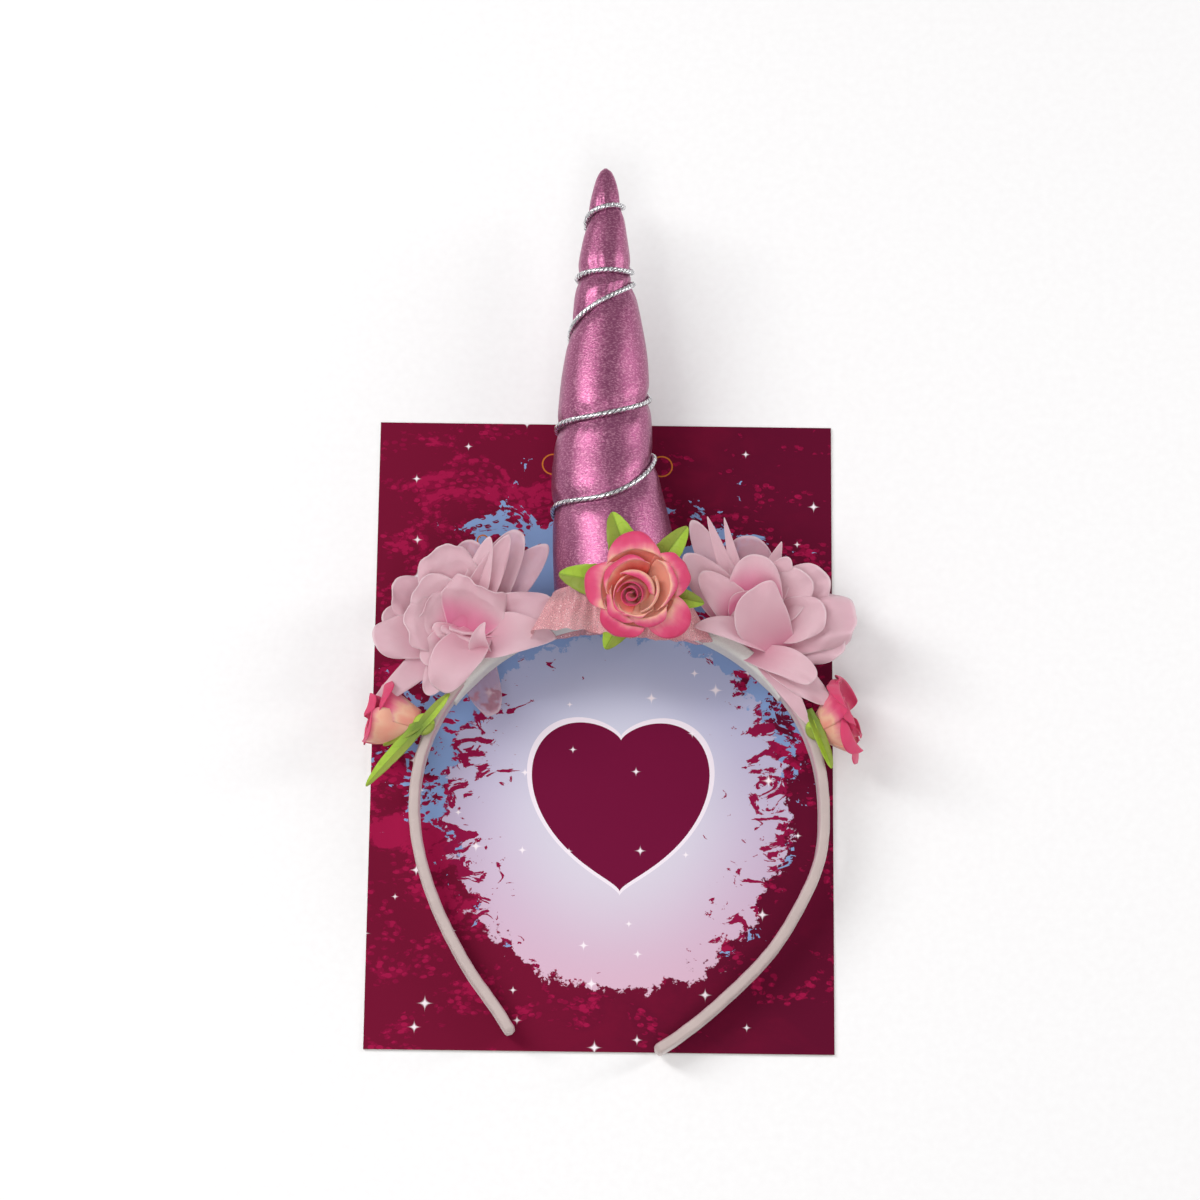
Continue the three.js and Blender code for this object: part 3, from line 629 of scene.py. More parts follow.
# Net: round the horn and down from its foot, swept out by a power of the way down, waved by the ruffles
# and creased by fine pleats that fade toward the free edge
def netSheet():
    angle = np.linspace(0, 2 * math.pi, net["columns"])[None, :]
    down = np.linspace(0, 1, net["rows"])[:, None]
    front, right = np.sin(angle), np.cos(angle)
    facing = front**2
    low = np.where(front > 0, net["front"][0], net["back"][0])
    flare = net["side"][0] * (1 - facing) + low * facing
    fall = np.where(front > 0, net["front"][1], net["back"][1])
    hang = net["hang"] * right * np.maximum(front, 0)
    drop = net["side"][1] + (fall - net["side"][1]) * np.abs(front) + hang
    uneven = net["uneven"] * down**2 * wander(21, 9 * right, 9 * front)
    ruffle = net["depth"] * down * np.sin(net["ruffles"] * angle) + uneven
    crease = net["pleats"] * angle + 1.5 * wander(22, 5 * right, 3 * down)
    pleat = net["pleatDepth"] * (1 - net["pleatFade"] * down) * np.sin(crease)
    radius = horn["radius"] + net["gap"] + flare * down**1.5 + ruffle + pleat * np.minimum(1, 4 * down)
    flat = np.where(front > 0, horn["front"], horn["back"])
    edge = net["uneven"] * wander(23, 12 * right, 12 * front) * down
    y = horn["foot"][1] + net["height"] - drop * down**1.2 + edge
    toward = net["forward"] * (1 - facing) * smooth(down, 0.0, 0.5) * smooth(front, -0.5, 0.0)
    return np.stack([horn["foot"][0] + radius * right, y, radius * front * flat + toward], -1)


# Pink net: fine threads with see-through holes, strewn with dots of glitter
def netFill(start):
    place = objectPlace(start)
    hole = place.node("TexVoronoi", {"feature": "DISTANCE_TO_EDGE"}, {"Vector": place, "Scale": 2.6})
    dots = place.node("TexVoronoi", None, {"Vector": place, "Scale": 1.2})
    glitter = dots.rise(0.24, 0.16)
    drift = place.noise(0.25, 3)
    base = drift.between(tint(0xcf8a92), tint(0xe6aaae))
    thread = 1 - hole.rise(0.08, 0.30) * 0.5
    return {
        "Base Color": (glitter * 0.8).between(base, tint(0xffe6e6)),
        "Metallic": glitter * 0.4,
        "Roughness": 0.8 - glitter * 0.4,
        "Alpha": thread.math("MAXIMUM", thread, glitter),
        "bump": (drift + glitter * 0.3, 0.4, 0.3),
    }


pinkNet = finish("pink_net", netFill, **{"Sheen Weight": 0.3})
ruffle = Surface()
ruffle.addGrid(toWorld(netSheet()))
rufflePiece = ruffle.piece("net_ruffle", pinkNet, "pink_net", ["tulle_ruffle"])
print("net gathered")

# Petals. Azimuth in degrees round the flower; reach and bulge out from its middle at the tip and the bend;
# rise and lift toward the viewer there; width; cup across; curl of the rim backwards; full, the power of the
# outline: 1 is a point, 2 round, 3 blunt; twist in degrees and sway in millimetres, both at the tip; blush,
# how far the deep colour climbs; clear, how much shows through the cloth. Where a petal doesn't start at the
# middle, its foot's place right and up from there follows, in millimetres.
petalColumns = (
    "azimuth", "reach", "rise", "bulge", "lift", "width", "cup", "curl", "full", "twist", "sway", "blush",
    "clear", "footX", "footY",
)
cloth = {
    "rows": 34,
    "columns": 29,
    "root": 0.25,  # where a petal starts, as a share of its seat's radius
    "neck": 0.45,  # width at the root, as a share of the whole
    "widest": 0.5,  # share of the length at which the full width is reached
    "rim": (0.55, 0.72),  # shares of half the width and of the length from which the rim rolls
    "tipRoll": 1.2,  # how much more the tip rolls than the sides
    "wave": 0.12,  # height of the slow waves, as a share of half the width
    "frill": 0.02,  # the same for the fine waves at the rim
    "wall": 0.22,
}
seats = {
    "thick": 1.6,
    "step": 1.96,  # from one seat to the next
    "sides": 40,
}
leaves = {
    "length": 27.0,
    "width": 12.0,
    "neck": 0.5,
    "wave": 0.12,
    "cup": 0.1,
    "curl": 0.05,
    "fold": 0.24,  # depth of the fold along the middle, as a share of half the width
    "full": 1.75,
    "twist": 12.0,  # degrees at the tip, to one side and the other in turn
    "teeth": 0.04,  # how far they stand out, as a share of half the width
    "toothCount": 8,
    "bend": 0.6,  # where it bends, as a share of its reach
    "lift": (1.1, 1.6),  # height of the root and of the bend, as shares of a seat's thickness
    "wall": 0.35,
}


# A frame whose z is the flower's axis: its middle, and its right, up and forward directions as rows
def flowerFrame(centre, axis):
    forward = unit(np.array(axis, float))
    guide = np.array([0, 1, 0] if abs(forward[2]) > 0.7 else [0, 0, 1])
    right = unit(np.cross(guide, forward))
    return np.array(centre, float), np.stack([right, np.cross(forward, right), forward])


# Grid of a petal's outline: a square bent so that its far edge and sides lie on a power curve, by the law
# x = u * (1 - v^n / 2)^(1/n), and the same for y
def petalGrid(full):
    v = np.linspace(0, 1, cloth["rows"])[:, None]
    u = np.linspace(-1, 1, cloth["columns"])[None, :]
    return u, v, u * (1 - v**full / 2) ** (1 / full), v * (1 - np.abs(u) ** full / 2) ** (1 / full)


# A slab of cloth on a quadratic curve that runs out and up from the seat. Its half width grows from the neck
# as a quarter sine, it is cupped across toward the axis, and its rim rolls back and waves near the tip. A
# foot that lies to one side comes back to the middle by the square of the way that is left.
def clothBlade(row, root, bend, tip, halfWidth, neck, wave, frill, fold=0.0, teeth=0.0, seed=1):
    u, v, across, along = petalGrid(row["full"])
    root, bend, tip = (np.array(spot, float) for spot in (root, bend, tip))
    t = along[..., None]
    spine = root * (1 - t) ** 2 + 2 * bend * t * (1 - t) + tip * t**2
    ahead = unit(2 * (bend - root) * (1 - t) + 2 * (tip - bend) * t)
    inward = np.stack([-ahead[..., 1], ahead[..., 0]], -1)
    half = halfWidth * (neck + (1 - neck) * np.sin(np.minimum(along / cloth["widest"], 1) * math.pi / 2))
    half = half * (1 + teeth * (2 * np.abs((along * leaves["toothCount"]) % 1 - 0.5) - 0.5))
    sideRim, tipRim = cloth["rim"]
    edge = smooth(np.abs(u), sideRim, 1.0) * v + cloth["tipRoll"] * smooth(v, tipRim, 1.0)
    rise = half * (row["cup"] * across**2 - fold * (1 - np.abs(across))) - row["curl"] * halfWidth * edge
    rise = rise + wave * halfWidth * along**2 * wander(seed, 3.2 * across, 3.0 * along)
    crimp = frill * halfWidth * np.maximum(np.abs(u), v) ** 4 * v
    rise = rise + crimp * wander(seed + 7, 9 * across, 9 * along)
    turn = np.radians(row["twist"]) * along**1.5
    side = half * across * np.cos(turn) + row["sway"] * along**2 + row.get("footSide", 0) * (1 - along) ** 2
    spot = spine + inward * (rise + half * across * np.sin(turn))[..., None]
    a = math.radians(row["azimuth"])
    out, beside = np.array([math.cos(a), math.sin(a), 0]), np.array([-math.sin(a), math.cos(a), 0])
    return spot[..., :1] * out + spot[..., 1:] * np.array([0, 0, 1]) + side[..., None] * beside


# Petals of one ring, in the flower's frame
def addPetals(surface, rows, size, seatRadius, level, flower, seed):
    centre, basis = flower
    reach, depth, width = size
    high = level + seats["thick"]
    for number, row in enumerate(rows):
        p = dict(zip(petalColumns, row))
        a = math.radians(p["azimuth"])
        x, y = p.get("footX", 0), p.get("footY", 0)
        p["footSide"] = y * math.cos(a) - x * math.sin(a)
        root = (x * math.cos(a) + y * math.sin(a) if len(row) > 13 else seatRadius * cloth["root"]), high
        bend = p["bulge"] * reach, high + p["lift"] * depth
        tip = p["reach"] * reach, p["rise"] * depth
        looks = cloth["neck"], cloth["wave"], cloth["frill"]
        blade = clothBlade(p, root, bend, tip, p["width"] * width / 2, *looks, seed=seed + number)
        mark = p["blush"], p["clear"], (0.37 * number + 0.1 * seed) % 1
        surface.addGrid(toWorld(centre + blade @ basis), mark=mark)


# Leaves of a calyx: azimuth, reach, rise, width, and the root's place as a share of the seat's radius. They
# are folded a little along the middle, with a few shallow teeth.
def addLeaves(surface, rows, seatRadius, flower, seed):
    centre, basis = flower
    for number, (azimuth, reach, rise, width, rootShare) in enumerate(rows):
        far = reach * leaves["length"]
        twist = leaves["twist"] * (-1) ** number
        p = {**leaves, "azimuth": azimuth, "twist": twist, "sway": 0}
        root = seatRadius * rootShare, seats["thick"] * leaves["lift"][0]
        bend = far * leaves["bend"], seats["thick"] * leaves["lift"][1]
        tip = far, rise * leaves["length"]
        blade = clothBlade(
            p, root, bend, tip, width * leaves["width"] / 2, leaves["neck"], leaves["wave"], 0,
            leaves["fold"], leaves["teeth"], seed + number,
        )
        surface.addGrid(toWorld(centre + blade @ basis), mark=(0, 0, number / len(rows)))


# Round seat: a low closed drum under each ring
def addSeat(surface, radius, low, flower):
    centre, basis = flower
    theta = np.linspace(0, 2 * math.pi, seats["sides"], endpoint=False)
    profile = np.array([(0.1, 0), (0.85, 0), (0.97, 0.12), (1, 0.5), (0.97, 0.88), (0.85, 1), (0.1, 1)])
    ring = np.stack([np.cos(theta), np.sin(theta)], -1)
    flat = profile[:, :1, None] * radius * ring[None]
    up = np.broadcast_to(low + profile[:, 1:, None] * seats["thick"], flat.shape[:2] + (1,))
    drum = toWorld(centre + np.concatenate([flat, up], -1) @ basis)
    # the mark gives a chiffon seat the heart's deep pink all over, partly painted shade
    surface.addGrid(drum, mark=(1.2, 0, 0.5), closed=True)


# Leaf cloth: yellow-green, with olive painted shade on one half of the fold and darker toward the root,
# and a pressed midrib and side veins
def leafFill(start):
    place, onCloth = objectPlace(start), clothPlace(start)
    across, along = abs(onCloth.part(0) * 2 - 1), onCloth.part(1)
    rib = across.rise(0.09, 0.02)
    slant = (along * 7 - across * 1.6) * (2 * math.pi)
    vein = slant.math("SINE", slant).rise(0.80, 1.0)
    drift = place.noise(0.25, 3)
    green = drift.between(tint(0x8cb21f), tint(0xadc937))
    # painted shade: one half of the folded leaf olive, and a darker olive toward the root
    base = onCloth.part(0).rise(0.46, 0.54).between(green, tint(0x86962a))
    base = along.rise(0.55, 0.05).between(base, tint(0x66801a))
    return {
        "Base Color": (rib * 0.4 + vein * 0.1).between(base, tint(0x6c8f1c)),
        "Roughness": drift * 0.2 + 0.45,
        "bump": (place.noise(2.2, 3) * 0.35 - rib - vein * 0.4, 0.5, 0.25),
    }


# Rose cloth: dark orange-brown painted shade in the crevices, coral up the wall, cream at the crest and
# the sides, pink at the rolled rim, all in streaks. A petal marked clear is cream at its root instead.
def roseFill(start):
    place, onCloth = objectPlace(start), clothPlace(start)
    across, along = abs(onCloth.part(0) * 2 - 1), onCloth.part(1)
    blush, pale, _ = petalMark(start)
    streak = onCloth.stretch(7, 1.0, 1).noise(1.0, 3) - 0.5
    climb = along + streak * 0.22 + (place.noise(0.16, 2) - 0.5) * 0.34 + blush - 0.5
    climb = climb - across.rise(0.35, 1.0) * 0.16
    # the ramp's dark orange-brown foot is painted shade in the crevices; coral, cream and pink above it are
    # dye
    dyeAndPaintedShade = climb.node("ValToRGB", {"stops": [
        (0.0, tint(0xa03a28)), (0.22, tint(0xd8584c)), (0.48, tint(0xea7f72)), (0.66, tint(0xf0b79a)),
        (0.78, tint(0xe57f8c)), (0.90, tint(0xd94573)), (1.0, tint(0xd03063)),
    ]}, {0: climb})
    base = (climb.rise(0.72, 0.30) * pale).between(dyeAndPaintedShade, tint(0xe6b59b))
    return {
        "Base Color": base,
        "Roughness": streak * 0.2 + 0.6,
        "bump": (streak * 0.8 + place.noise(3.0, 2) * 0.4, 0.35, 0.25),
    }


# Chiffon: pale pink, thin, paler along the cut edge, with a fine weave; deeper pink toward the heart, partly
# painted shade, mauve painted shade toward each root, and a weak painted glow of its own colour
def chiffonFill(start):
    place, onCloth = objectPlace(start), clothPlace(start)
    across, along = abs(onCloth.part(0) * 2 - 1), onCloth.part(1)
    blush, clear, own = petalMark(start)
    # deeper pink toward the heart: partly the cloth's own colour, partly painted shade among the roots
    deep = (along - blush).rise(0.32, -0.20)
    drift = place.noise(0.09, 2) + (own - 0.5) * 0.5
    pale = drift.between(tint(0xd6a7b3), tint(0xe1bbc4))
    pale = (clear * 1.3).between(pale, tint(0xb792a5))
    edge = across.rise(0.92, 1.0).math("MAXIMUM", across.rise(0.92, 1.0), along.rise(0.95, 1.0))
    # painted shade: mauve toward each petal's root
    base = along.rise(0.75, 0.15).between(pale, tint(0xd498a8))
    base = (deep * 0.9).between(base, tint(0xd96a93))
    weave = place.noise(4.0, 1)
    return {
        "Base Color": (edge * 0.35).between(base, tint(0xf3e2e6)),
        "Roughness": weave * 0.1 + 0.6,
        "Alpha": 0.87 - clear * 1.15 + edge * clear * 0.8,
        # painted glow: the chiffon gives off a little light of its own colour, lifting its shade
        "Emission Color": base,
        "bump": (weave + place.noise(0.5, 2) * 2, 0.2, 0.2),
    }


leafCloth = finish("leaf_cloth", leafFill, **{"Sheen Weight": 0.15})
# Emission Strength: a weak painted glow of the chiffon's own colour, lifting its shade
chiffon = finish("chiffon", chiffonFill, **{
    "Sheen Weight": 0.3, "Subsurface Weight": 0.25, "Subsurface Scale": 0.002,
    "Subsurface Radius": (1.0, 0.7, 0.8), "Emission Strength": 0.055,
})


# Makes a flower's rings as pieces of their own, and the seats under them as one more
def flowerRings(name, material, slot, size, flower, rings, seed):
    drums = Surface()
    for ring, rows, seatRadius, layer, node in rings:
        level = layer * seats["step"]
        petals = Surface()
        addPetals(petals, rows, size, seatRadius, level, flower, seed + 10 * layer)
        addSeat(drums, seatRadius, level, flower)
        thicken(petals.piece(name + "_" + ring, material, slot, [node]), cloth["wall"])
    drums.piece(name + "_seat", material, slot, [])


bloomSize = (30.0, 26.0, 22.0)  # reach, depth and width that the bloom's petals are shares of
leftBloom = {
    "angle": 131.0,
    "out": 12.1,
    "seats": (11.5, 7.0, 5.0),
    "outer": [
        (-69, 0.92, -0.27, 0.23, -0.48, 0.62, 0.10, 0.04, 2.8, 0, 0, 0.00, 0.45),
        (86, 0.95, 0.20, 0.55, -0.05, 0.85, 0.25, 0.06, 2.2, 0, 0, 0.05, 0.20),
        (61, 1.19, 0.28, 0.60, 0.00, 0.72, 0.30, 0.04, 2.3, 0, 0, 0.15, 0.16),
        (46, 1.27, 0.18, 0.60, -0.05, 0.72, 0.40, 0.05, 1.9, 18, 0, 0.30, 0.10),
        (152, 0.82, 0.40, 0.60, 0.00, 0.80, 0.25, 0.12, 2.6, 6, 0, 0.10, 0.02),
        (174, 0.84, 0.30, 0.55, -0.05, 0.66, 0.20, 0.12, 2.5, -6, 0, 0.10, 0.02),
        (-167, 0.95, 0.42, 0.60, 0.20, 0.72, 0.12, 0.14, 2.9, 8, -1, 0.05, 0.00),
        (-137, 1.34, 0.25, 0.60, 0.24, 0.50, 0.12, 0.03, 1.7, 0, 0, 0.12, 0.00, -2.0, -2.0),
        (-116, 0.84, 0.30, 0.50, 0.25, 0.50, 0.25, 0.08, 2.2, 0, 0, 0.10, 0.02),
    ],
    "middle": [
        (64, 1.08, 0.42, 0.60, 0.20, 0.50, 0.45, 0.06, 1.8, 35, 0, 0.12, 0.02),
        (108, 0.78, 0.56, 0.65, 0.10, 1.00, 0.30, 0.16, 2.5, 0, 0, 0.10, 0.00),
        (74, 0.97, 0.48, 0.60, 0.20, 0.46, 0.40, 0.05, 1.7, -20, 0, 0.10, 0.02),
        (14, 0.98, 0.42, 0.55, 0.22, 0.66, 0.45, 0.12, 2.4, -12, 0, 0.22, 0.02),
        (-8, 1.00, 0.38, 0.50, 0.46, 0.84, 0.08, 0.01, 1.5, 2, 0, 0.00, 0.00, 4.0, -5.0),
        (-134, 0.60, 0.40, 0.35, 0.30, 0.50, 0.20, 0.06, 2.3, 0, 0, 0.30, 0.00),
        (-106, 0.80, 0.48, 0.45, 0.66, 0.78, 0.12, 0.05, 2.2, 0, 0, 0.00, 0.00, 6.0, 0.0),
        (182, 0.56, 0.58, 0.50, 0.25, 0.86, 0.25, 0.12, 2.7, 0, 0, 0.10, 0.00),
        (140, 0.58, 0.60, 0.50, 0.20, 0.85, 0.30, 0.10, 2.5, 0, 0, 0.20, 0.00),
    ],
    "inner": [
        (66, 0.34, 0.58, 0.40, 0.10, 1.06, 0.30, 0.20, 2.5, 0, 0, 0.26, 0.00, 0.0, -2.4),
        (160, 0.42, 0.44, 0.42, 0.08, 0.90, 0.22, 0.08, 2.4, 0, 0, 0.30, 0.00, 3.0, -3.5),
        (236, 0.31, 0.28, 0.20, 0.22, 0.84, 0.16, 0.08, 2.4, 0, 0, 0.10, 0.00, 2.0, -3.0),
        (250, 0.20, 0.32, 0.14, 0.28, 0.66, 0.20, 0.06, 2.4, 0, 0, 0.24, 0.00, 1.5, -2.6),
        (258, 0.12, 0.36, 0.08, 0.26, 0.46, 0.20, 0.06, 2.4, 0, 0, 0.40, 0.00, 2.0, -1.8),
        (104, -0.08, 0.64, -0.27, 0.44, 0.34, 0.42, 0.03, 1.6, 0, -6.6, 0.08, 0.00, 8.0, -9.0),
    ],
}
rightBloom = {
    "angle": 55.4,
    "out": 7.3,
    "seats": (9.5, 7.0, 5.0),
    "outer": [
        (91, 1.02, 0.12, 0.55, -0.08, 1.00, 0.20, 0.06, 2.4, 0, 0, 0.00, 0.30),
        (70, 0.99, 0.26, 0.55, 0.00, 0.50, 0.35, 0.05, 1.3, 8, 0, 0.05, 0.04),
        (118, 1.32, 0.20, 0.60, 0.00, 0.55, 0.35, 0.05, 2.1, -12, 0, 0.20, 0.08),
        (111, 1.27, 0.32, 0.60, 0.05, 0.32, 0.50, 0.05, 1.5, 15, 0, 0.10, 0.02),
        (103, 1.22, 0.26, 0.60, 0.05, 0.28, 0.50, 0.05, 1.4, -10, 0, 0.10, 0.02),
        (-9, 0.98, 0.38, 0.60, 0.05, 0.85, 0.20, 0.20, 2.8, 8, 0, 0.05, 0.06),
        (5, 1.06, 0.50, 0.66, 0.20, 0.96, 0.12, 0.36, 3.2, -10, 0, 0.05, 0.00),
        (36, 0.96, 0.44, 0.60, 0.10, 0.88, 0.25, 0.12, 2.6, 6, 0, 0.15, 0.00),
        (-50, 1.17, 0.34, 0.60, 0.30, 0.55, 0.40, 0.10, 2.2, 0, 3, 0.05, 0.02, 6.0, -8.0),
        (-59, 1.25, 0.26, 0.50, 0.35, 0.42, 0.25, 0.04, 1.6, 8, 0, 0.00, 0.00, 3.0, -8.0),
    ],
    "middle": [
        (133, 1.02, 0.42, 0.55, 0.20, 0.70, 0.35, 0.08, 2.0, 0, 0, 0.22, 0.00, -3.0, 1.0),
        (60, 0.80, 0.56, 0.60, 0.20, 0.55, 0.30, 0.06, 1.8, 0, 0, 0.10, 0.00),
        (41, 0.78, 0.56, 0.58, 0.20, 0.75, 0.30, 0.10, 2.4, 0, 0, 0.20, 0.00),
        (84, 0.70, 0.66, 0.42, 0.40, 0.88, 0.26, 0.08, 2.3, 0, 0, 0.62, 0.00, 1.5, -2.5),
        (8, 0.80, 0.54, 0.55, 0.25, 0.72, 0.15, 0.08, 2.6, 0, 0, 0.00, 0.00, 5.0, 0.0),
        (-43, 0.92, 0.52, 0.56, 0.44, 0.50, 0.10, 0.04, 2.8, 0, 0, 0.00, 0.00, -1.5, -8.0),
    ],
    "inner": [
        (136, 0.74, 0.58, 0.36, 0.34, 0.62, 0.30, 0.05, 2.0, 0, 0, 0.40, 0.00, 1.0, -1.0),
        (104, 0.34, 0.52, 0.24, 0.22, 0.62, 0.30, 0.05, 2.3, 0, 0, 0.85, 0.00, 1.5, -2.5),
        (165, 0.26, 0.44, 0.16, 0.20, 0.60, 0.25, 0.06, 2.2, 0, 0, 0.50, 0.00, 3.0, -2.5),
        (118, 0.26, 0.84, 0.02, 0.50, 0.82, 0.08, 0.03, 4.0, 10, -6.0, 0.00, 0.00, 11.0, -7.0),
        (188, 0.60, 0.64, 0.24, 0.58, 0.46, 0.14, 0.02, 1.6, 0, 0, 0.00, 0.00, 6.5, -6.4),
    ],
}
for name, bloom, seed in (("left_bloom", leftBloom, 100), ("right_bloom", rightBloom, 200)):
    place = archPoint(math.radians(bloom["angle"]), bloom["out"])
    flowerRings(name, chiffon, "chiffon", bloomSize, flowerFrame(place, (0, 0, 1)), [
        ("outer_petals", bloom["outer"], bloom["seats"][0], 0, name + "_outer"),
        ("middle_petals", bloom["middle"], bloom["seats"][1], 1, name + "_middle"),
        ("inner_petals", bloom["inner"], bloom["seats"][2], 2, name + "_inner"),
    ], seed)
print("blooms opened")

# Rose petals. Azimuth and span in degrees round the axis; radius and height of the crest; roll and drop of the
# rim that is turned out; lean, how far one side lies outside the other; close, how far the top is drawn in;
# blush, how far the pink reaches down; pale, cream at the root instead of coral
roseColumns = ("azimuth", "span", "radius", "crest", "roll", "drop", "lean", "close", "blush", "pale")
roseCup = {
    "full": 2.5,  # power of the outline
    "belly": 0.6,  # share of the way up the wall at which it is widest
    "top": 0.82,  # share at which it is highest
    "rim": (0.66, 0.34),  # share from which it rolls outward, and over how much
    "uneven": 0.07,  # waves round the wall, as a share of the radius
    "waver": 0.5,  # waves in its height
}
rolledHeart = {
    "rows": 16,
    "columns": 150,
    "start": 0.5,  # radius at the inner end of the strip
    "foot": 1.25,  # how much wider the strip stands at its foot
    "taper": 0.35,  # how much of that is gone at the top edge
    "flare": 0.35,  # how far the top edge turns out
    "waver": 0.25,  # waves in the top edge
}
roseCloth = finish("rose_cloth", roseFill, **{
    "Sheen Weight": 0.2, "Subsurface Weight": 0.15, "Subsurface Scale": 0.001,
})


# A cupped petal: a wall that swells out from the axis as a quarter sine and rises as another, then rolls
# outward and down at its rim. Its top can be drawn in, and moved off the axis by the shift.
def roseBlade(row, level, neck, shift, seed):
    u, v, across, along = petalGrid(roseCup["full"])
    p = dict(zip(roseColumns, row))
    angle = np.radians(p["azimuth"] + across * p["span"] / 2)
    rimFrom, rimOver = roseCup["rim"]
    rim = np.clip((along - rimFrom) / rimOver, 0, 1)
    swell = np.sin(np.minimum(along / roseCup["belly"], 1) * math.pi / 2)
    radius = p["radius"] * (neck + (1 - neck) * swell) * (1 - p["close"] * along**1.6)
    radius = radius + p["roll"] * rim**1.4 + p["lean"] * across * along
    radius = radius + roseCup["uneven"] * p["radius"] * along**3 * wander(seed, 3.8 * across, 2.0 * along)
    climb = np.sin(np.minimum(along / roseCup["top"], 1) * math.pi / 2)
    waver = roseCup["waver"] * along**2 * wander(seed + 3, 3 * across, 2 * along)
    z = level + (p["crest"] - level) * climb - p["drop"] * rim**2 + waver
    x = radius * np.cos(angle) + shift[0] * along
    y = radius * np.sin(angle) + shift[1] * along
    return np.stack([x, y, z], -1)


# Rolled heart of a rose: a spiral strip whose radius grows evenly with its turn, drawn in toward its top edge
def roseScroll(scroll, level, shift):
    v = np.linspace(0, 1, rolledHeart["rows"])[:, None]
    t = np.linspace(0, 1, rolledHeart["columns"])[None, :]
    angle = 2 * math.pi * scroll["turns"] * t + math.radians(scroll["start"])
    top = scroll["top"] - scroll["fall"] * t**2 + rolledHeart["waver"] * np.sin(angle * 1.7)
    radius = (rolledHeart["start"] + scroll["radius"] * t) * (rolledHeart["foot"] - rolledHeart["taper"] * v)
    radius = radius + rolledHeart["flare"] * smooth(v, 0.8, 1)
    z = level + (top - level) * v
    x, y = radius * np.cos(angle) + shift[0] * v, radius * np.sin(angle) + shift[1] * v
    return np.stack([x, y, z + 0 * t], -1)


# Makes a rose's rings as pieces of their own, with the rolled heart in the last one, and the seats as one more
def roseRings(name, rings, flower, kind, seed):
    centre, basis = flower
    scroll, shift = kind["scroll"], kind["shift"]
    drums = Surface()
    for ring, rows, seatRadius, layer, node in rings:
        level = layer * seats["step"] + seats["thick"] * 0.5
        petals = Surface()
        last = node.endswith("core")
        for number, row in enumerate(rows):
            moved = shift if last else (0, 0)
            blade = roseBlade(row, level, kind["neck"], moved, seed + 10 * layer + number)
            petals.addGrid(toWorld(centre + blade @ basis), mark=(row[-2], row[-1], (0.37 * number) % 1))
        if last:
            rolled = toWorld(centre + roseScroll(scroll, level, shift) @ basis)
            petals.addGrid(rolled, mark=(scroll["blush"], 0, 0.5))
        addSeat(drums, seatRadius, layer * seats["step"], flower)
        thicken(petals.piece(name + "_" + ring, roseCloth, "rose_cloth", [node]), cloth["wall"])
    drums.piece(name + "_seat", roseCloth, "rose_cloth", [])


rose = {
    "centre": (5.6, 65.4, 20.6),
    "axis": (-0.05, -0.2, 0.98),
    "shift": (-2.4, -2.2),
    "neck": 0.22,
    "seats": (7.0, 6.0, 5.0, 4.0),  # radius of the seat under the leaves, then under each ring
    "scroll": {"turns": 2.3, "start": 60, "radius": 4.0, "top": 14.8, "fall": 1.2, "blush": 0.62},
    "leaves": [
        (110, 0.98, 0.02, 1.00, 0.4), (169, 0.98, 0.02, 1.05, 0.4), (53, 0.93, 0.02, 0.85, 0.4),
        (240, 0.82, 0.02, 0.90, 0.4), (-12, 0.78, 0.02, 0.70, 0.4),
    ],
    "outer": [
        (97, 104, 12.4, 10.2, 5.2, 2.0, 0.7, 0.0, 0.52, 0.1),
        (172, 96, 11.8, 9.6, 5.2, 2.4, 0.8, 0.0, 0.52, 0.2),
        (-120, 98, 11.8, 9.0, 4.8, 2.2, 0.8, 0.0, 0.60, 0.0),
        (-44, 86, 11.4, 9.0, 8.0, 2.6, 0.8, 0.0, 0.50, 0.3),
        (23, 88, 12.0, 10.6, 5.0, 2.4, 0.8, 0.0, 0.54, 0.2),
    ],
    "middle": [
        (128, 135, 9.4, 12.4, 1.9, 0.8, 1.2, 0.0, 0.56, 0.0),
        (4, 118, 10.0, 12.6, 1.9, 0.8, 1.8, 0.0, 0.44, 0.5),
        (-72, 96, 9.6, 11.6, 2.8, 1.6, 1.6, 0.0, 0.46, 0.7),
        (-138, 110, 9.2, 11.0, 2.6, 1.2, 1.2, 0.0, 0.50, 0.1),
    ],
    "core": [
        (60, 150, 7.6, 14.2, 0.4, 0.0, 1.0, 0.28, 0.58, 0.0),
        (-18, 120, 8.2, 13.6, 0.8, 0.3, 1.8, 0.22, 0.36, 0.9),
        (-92, 110, 7.8, 12.8, 1.0, 0.4, 1.6, 0.24, 0.40, 0.8),
        (185, 160, 7.2, 13.2, 0.4, 0.0, 1.2, 0.28, 0.58, 0.1),
    ],
}
place = flowerFrame(rose["centre"], rose["axis"])
calyx = Surface()
addLeaves(calyx, rose["leaves"], rose["seats"][0], place, 300)
addSeat(calyx, rose["seats"][0], 0, place)
thicken(calyx.piece("rose_leaves", leafCloth, "leaf_cloth", ["rose_calyx"]), leaves["wall"])
roseRings("rose", [
    ("outer_petals", rose["outer"], rose["seats"][1], 1, "rose_outer"),
    ("middle_petals", rose["middle"], rose["seats"][2], 2, "rose_middle"),
    ("core_petals", rose["core"], rose["seats"][3], 3, "rose_core"),
], place, rose, 310)
print("rose opened")

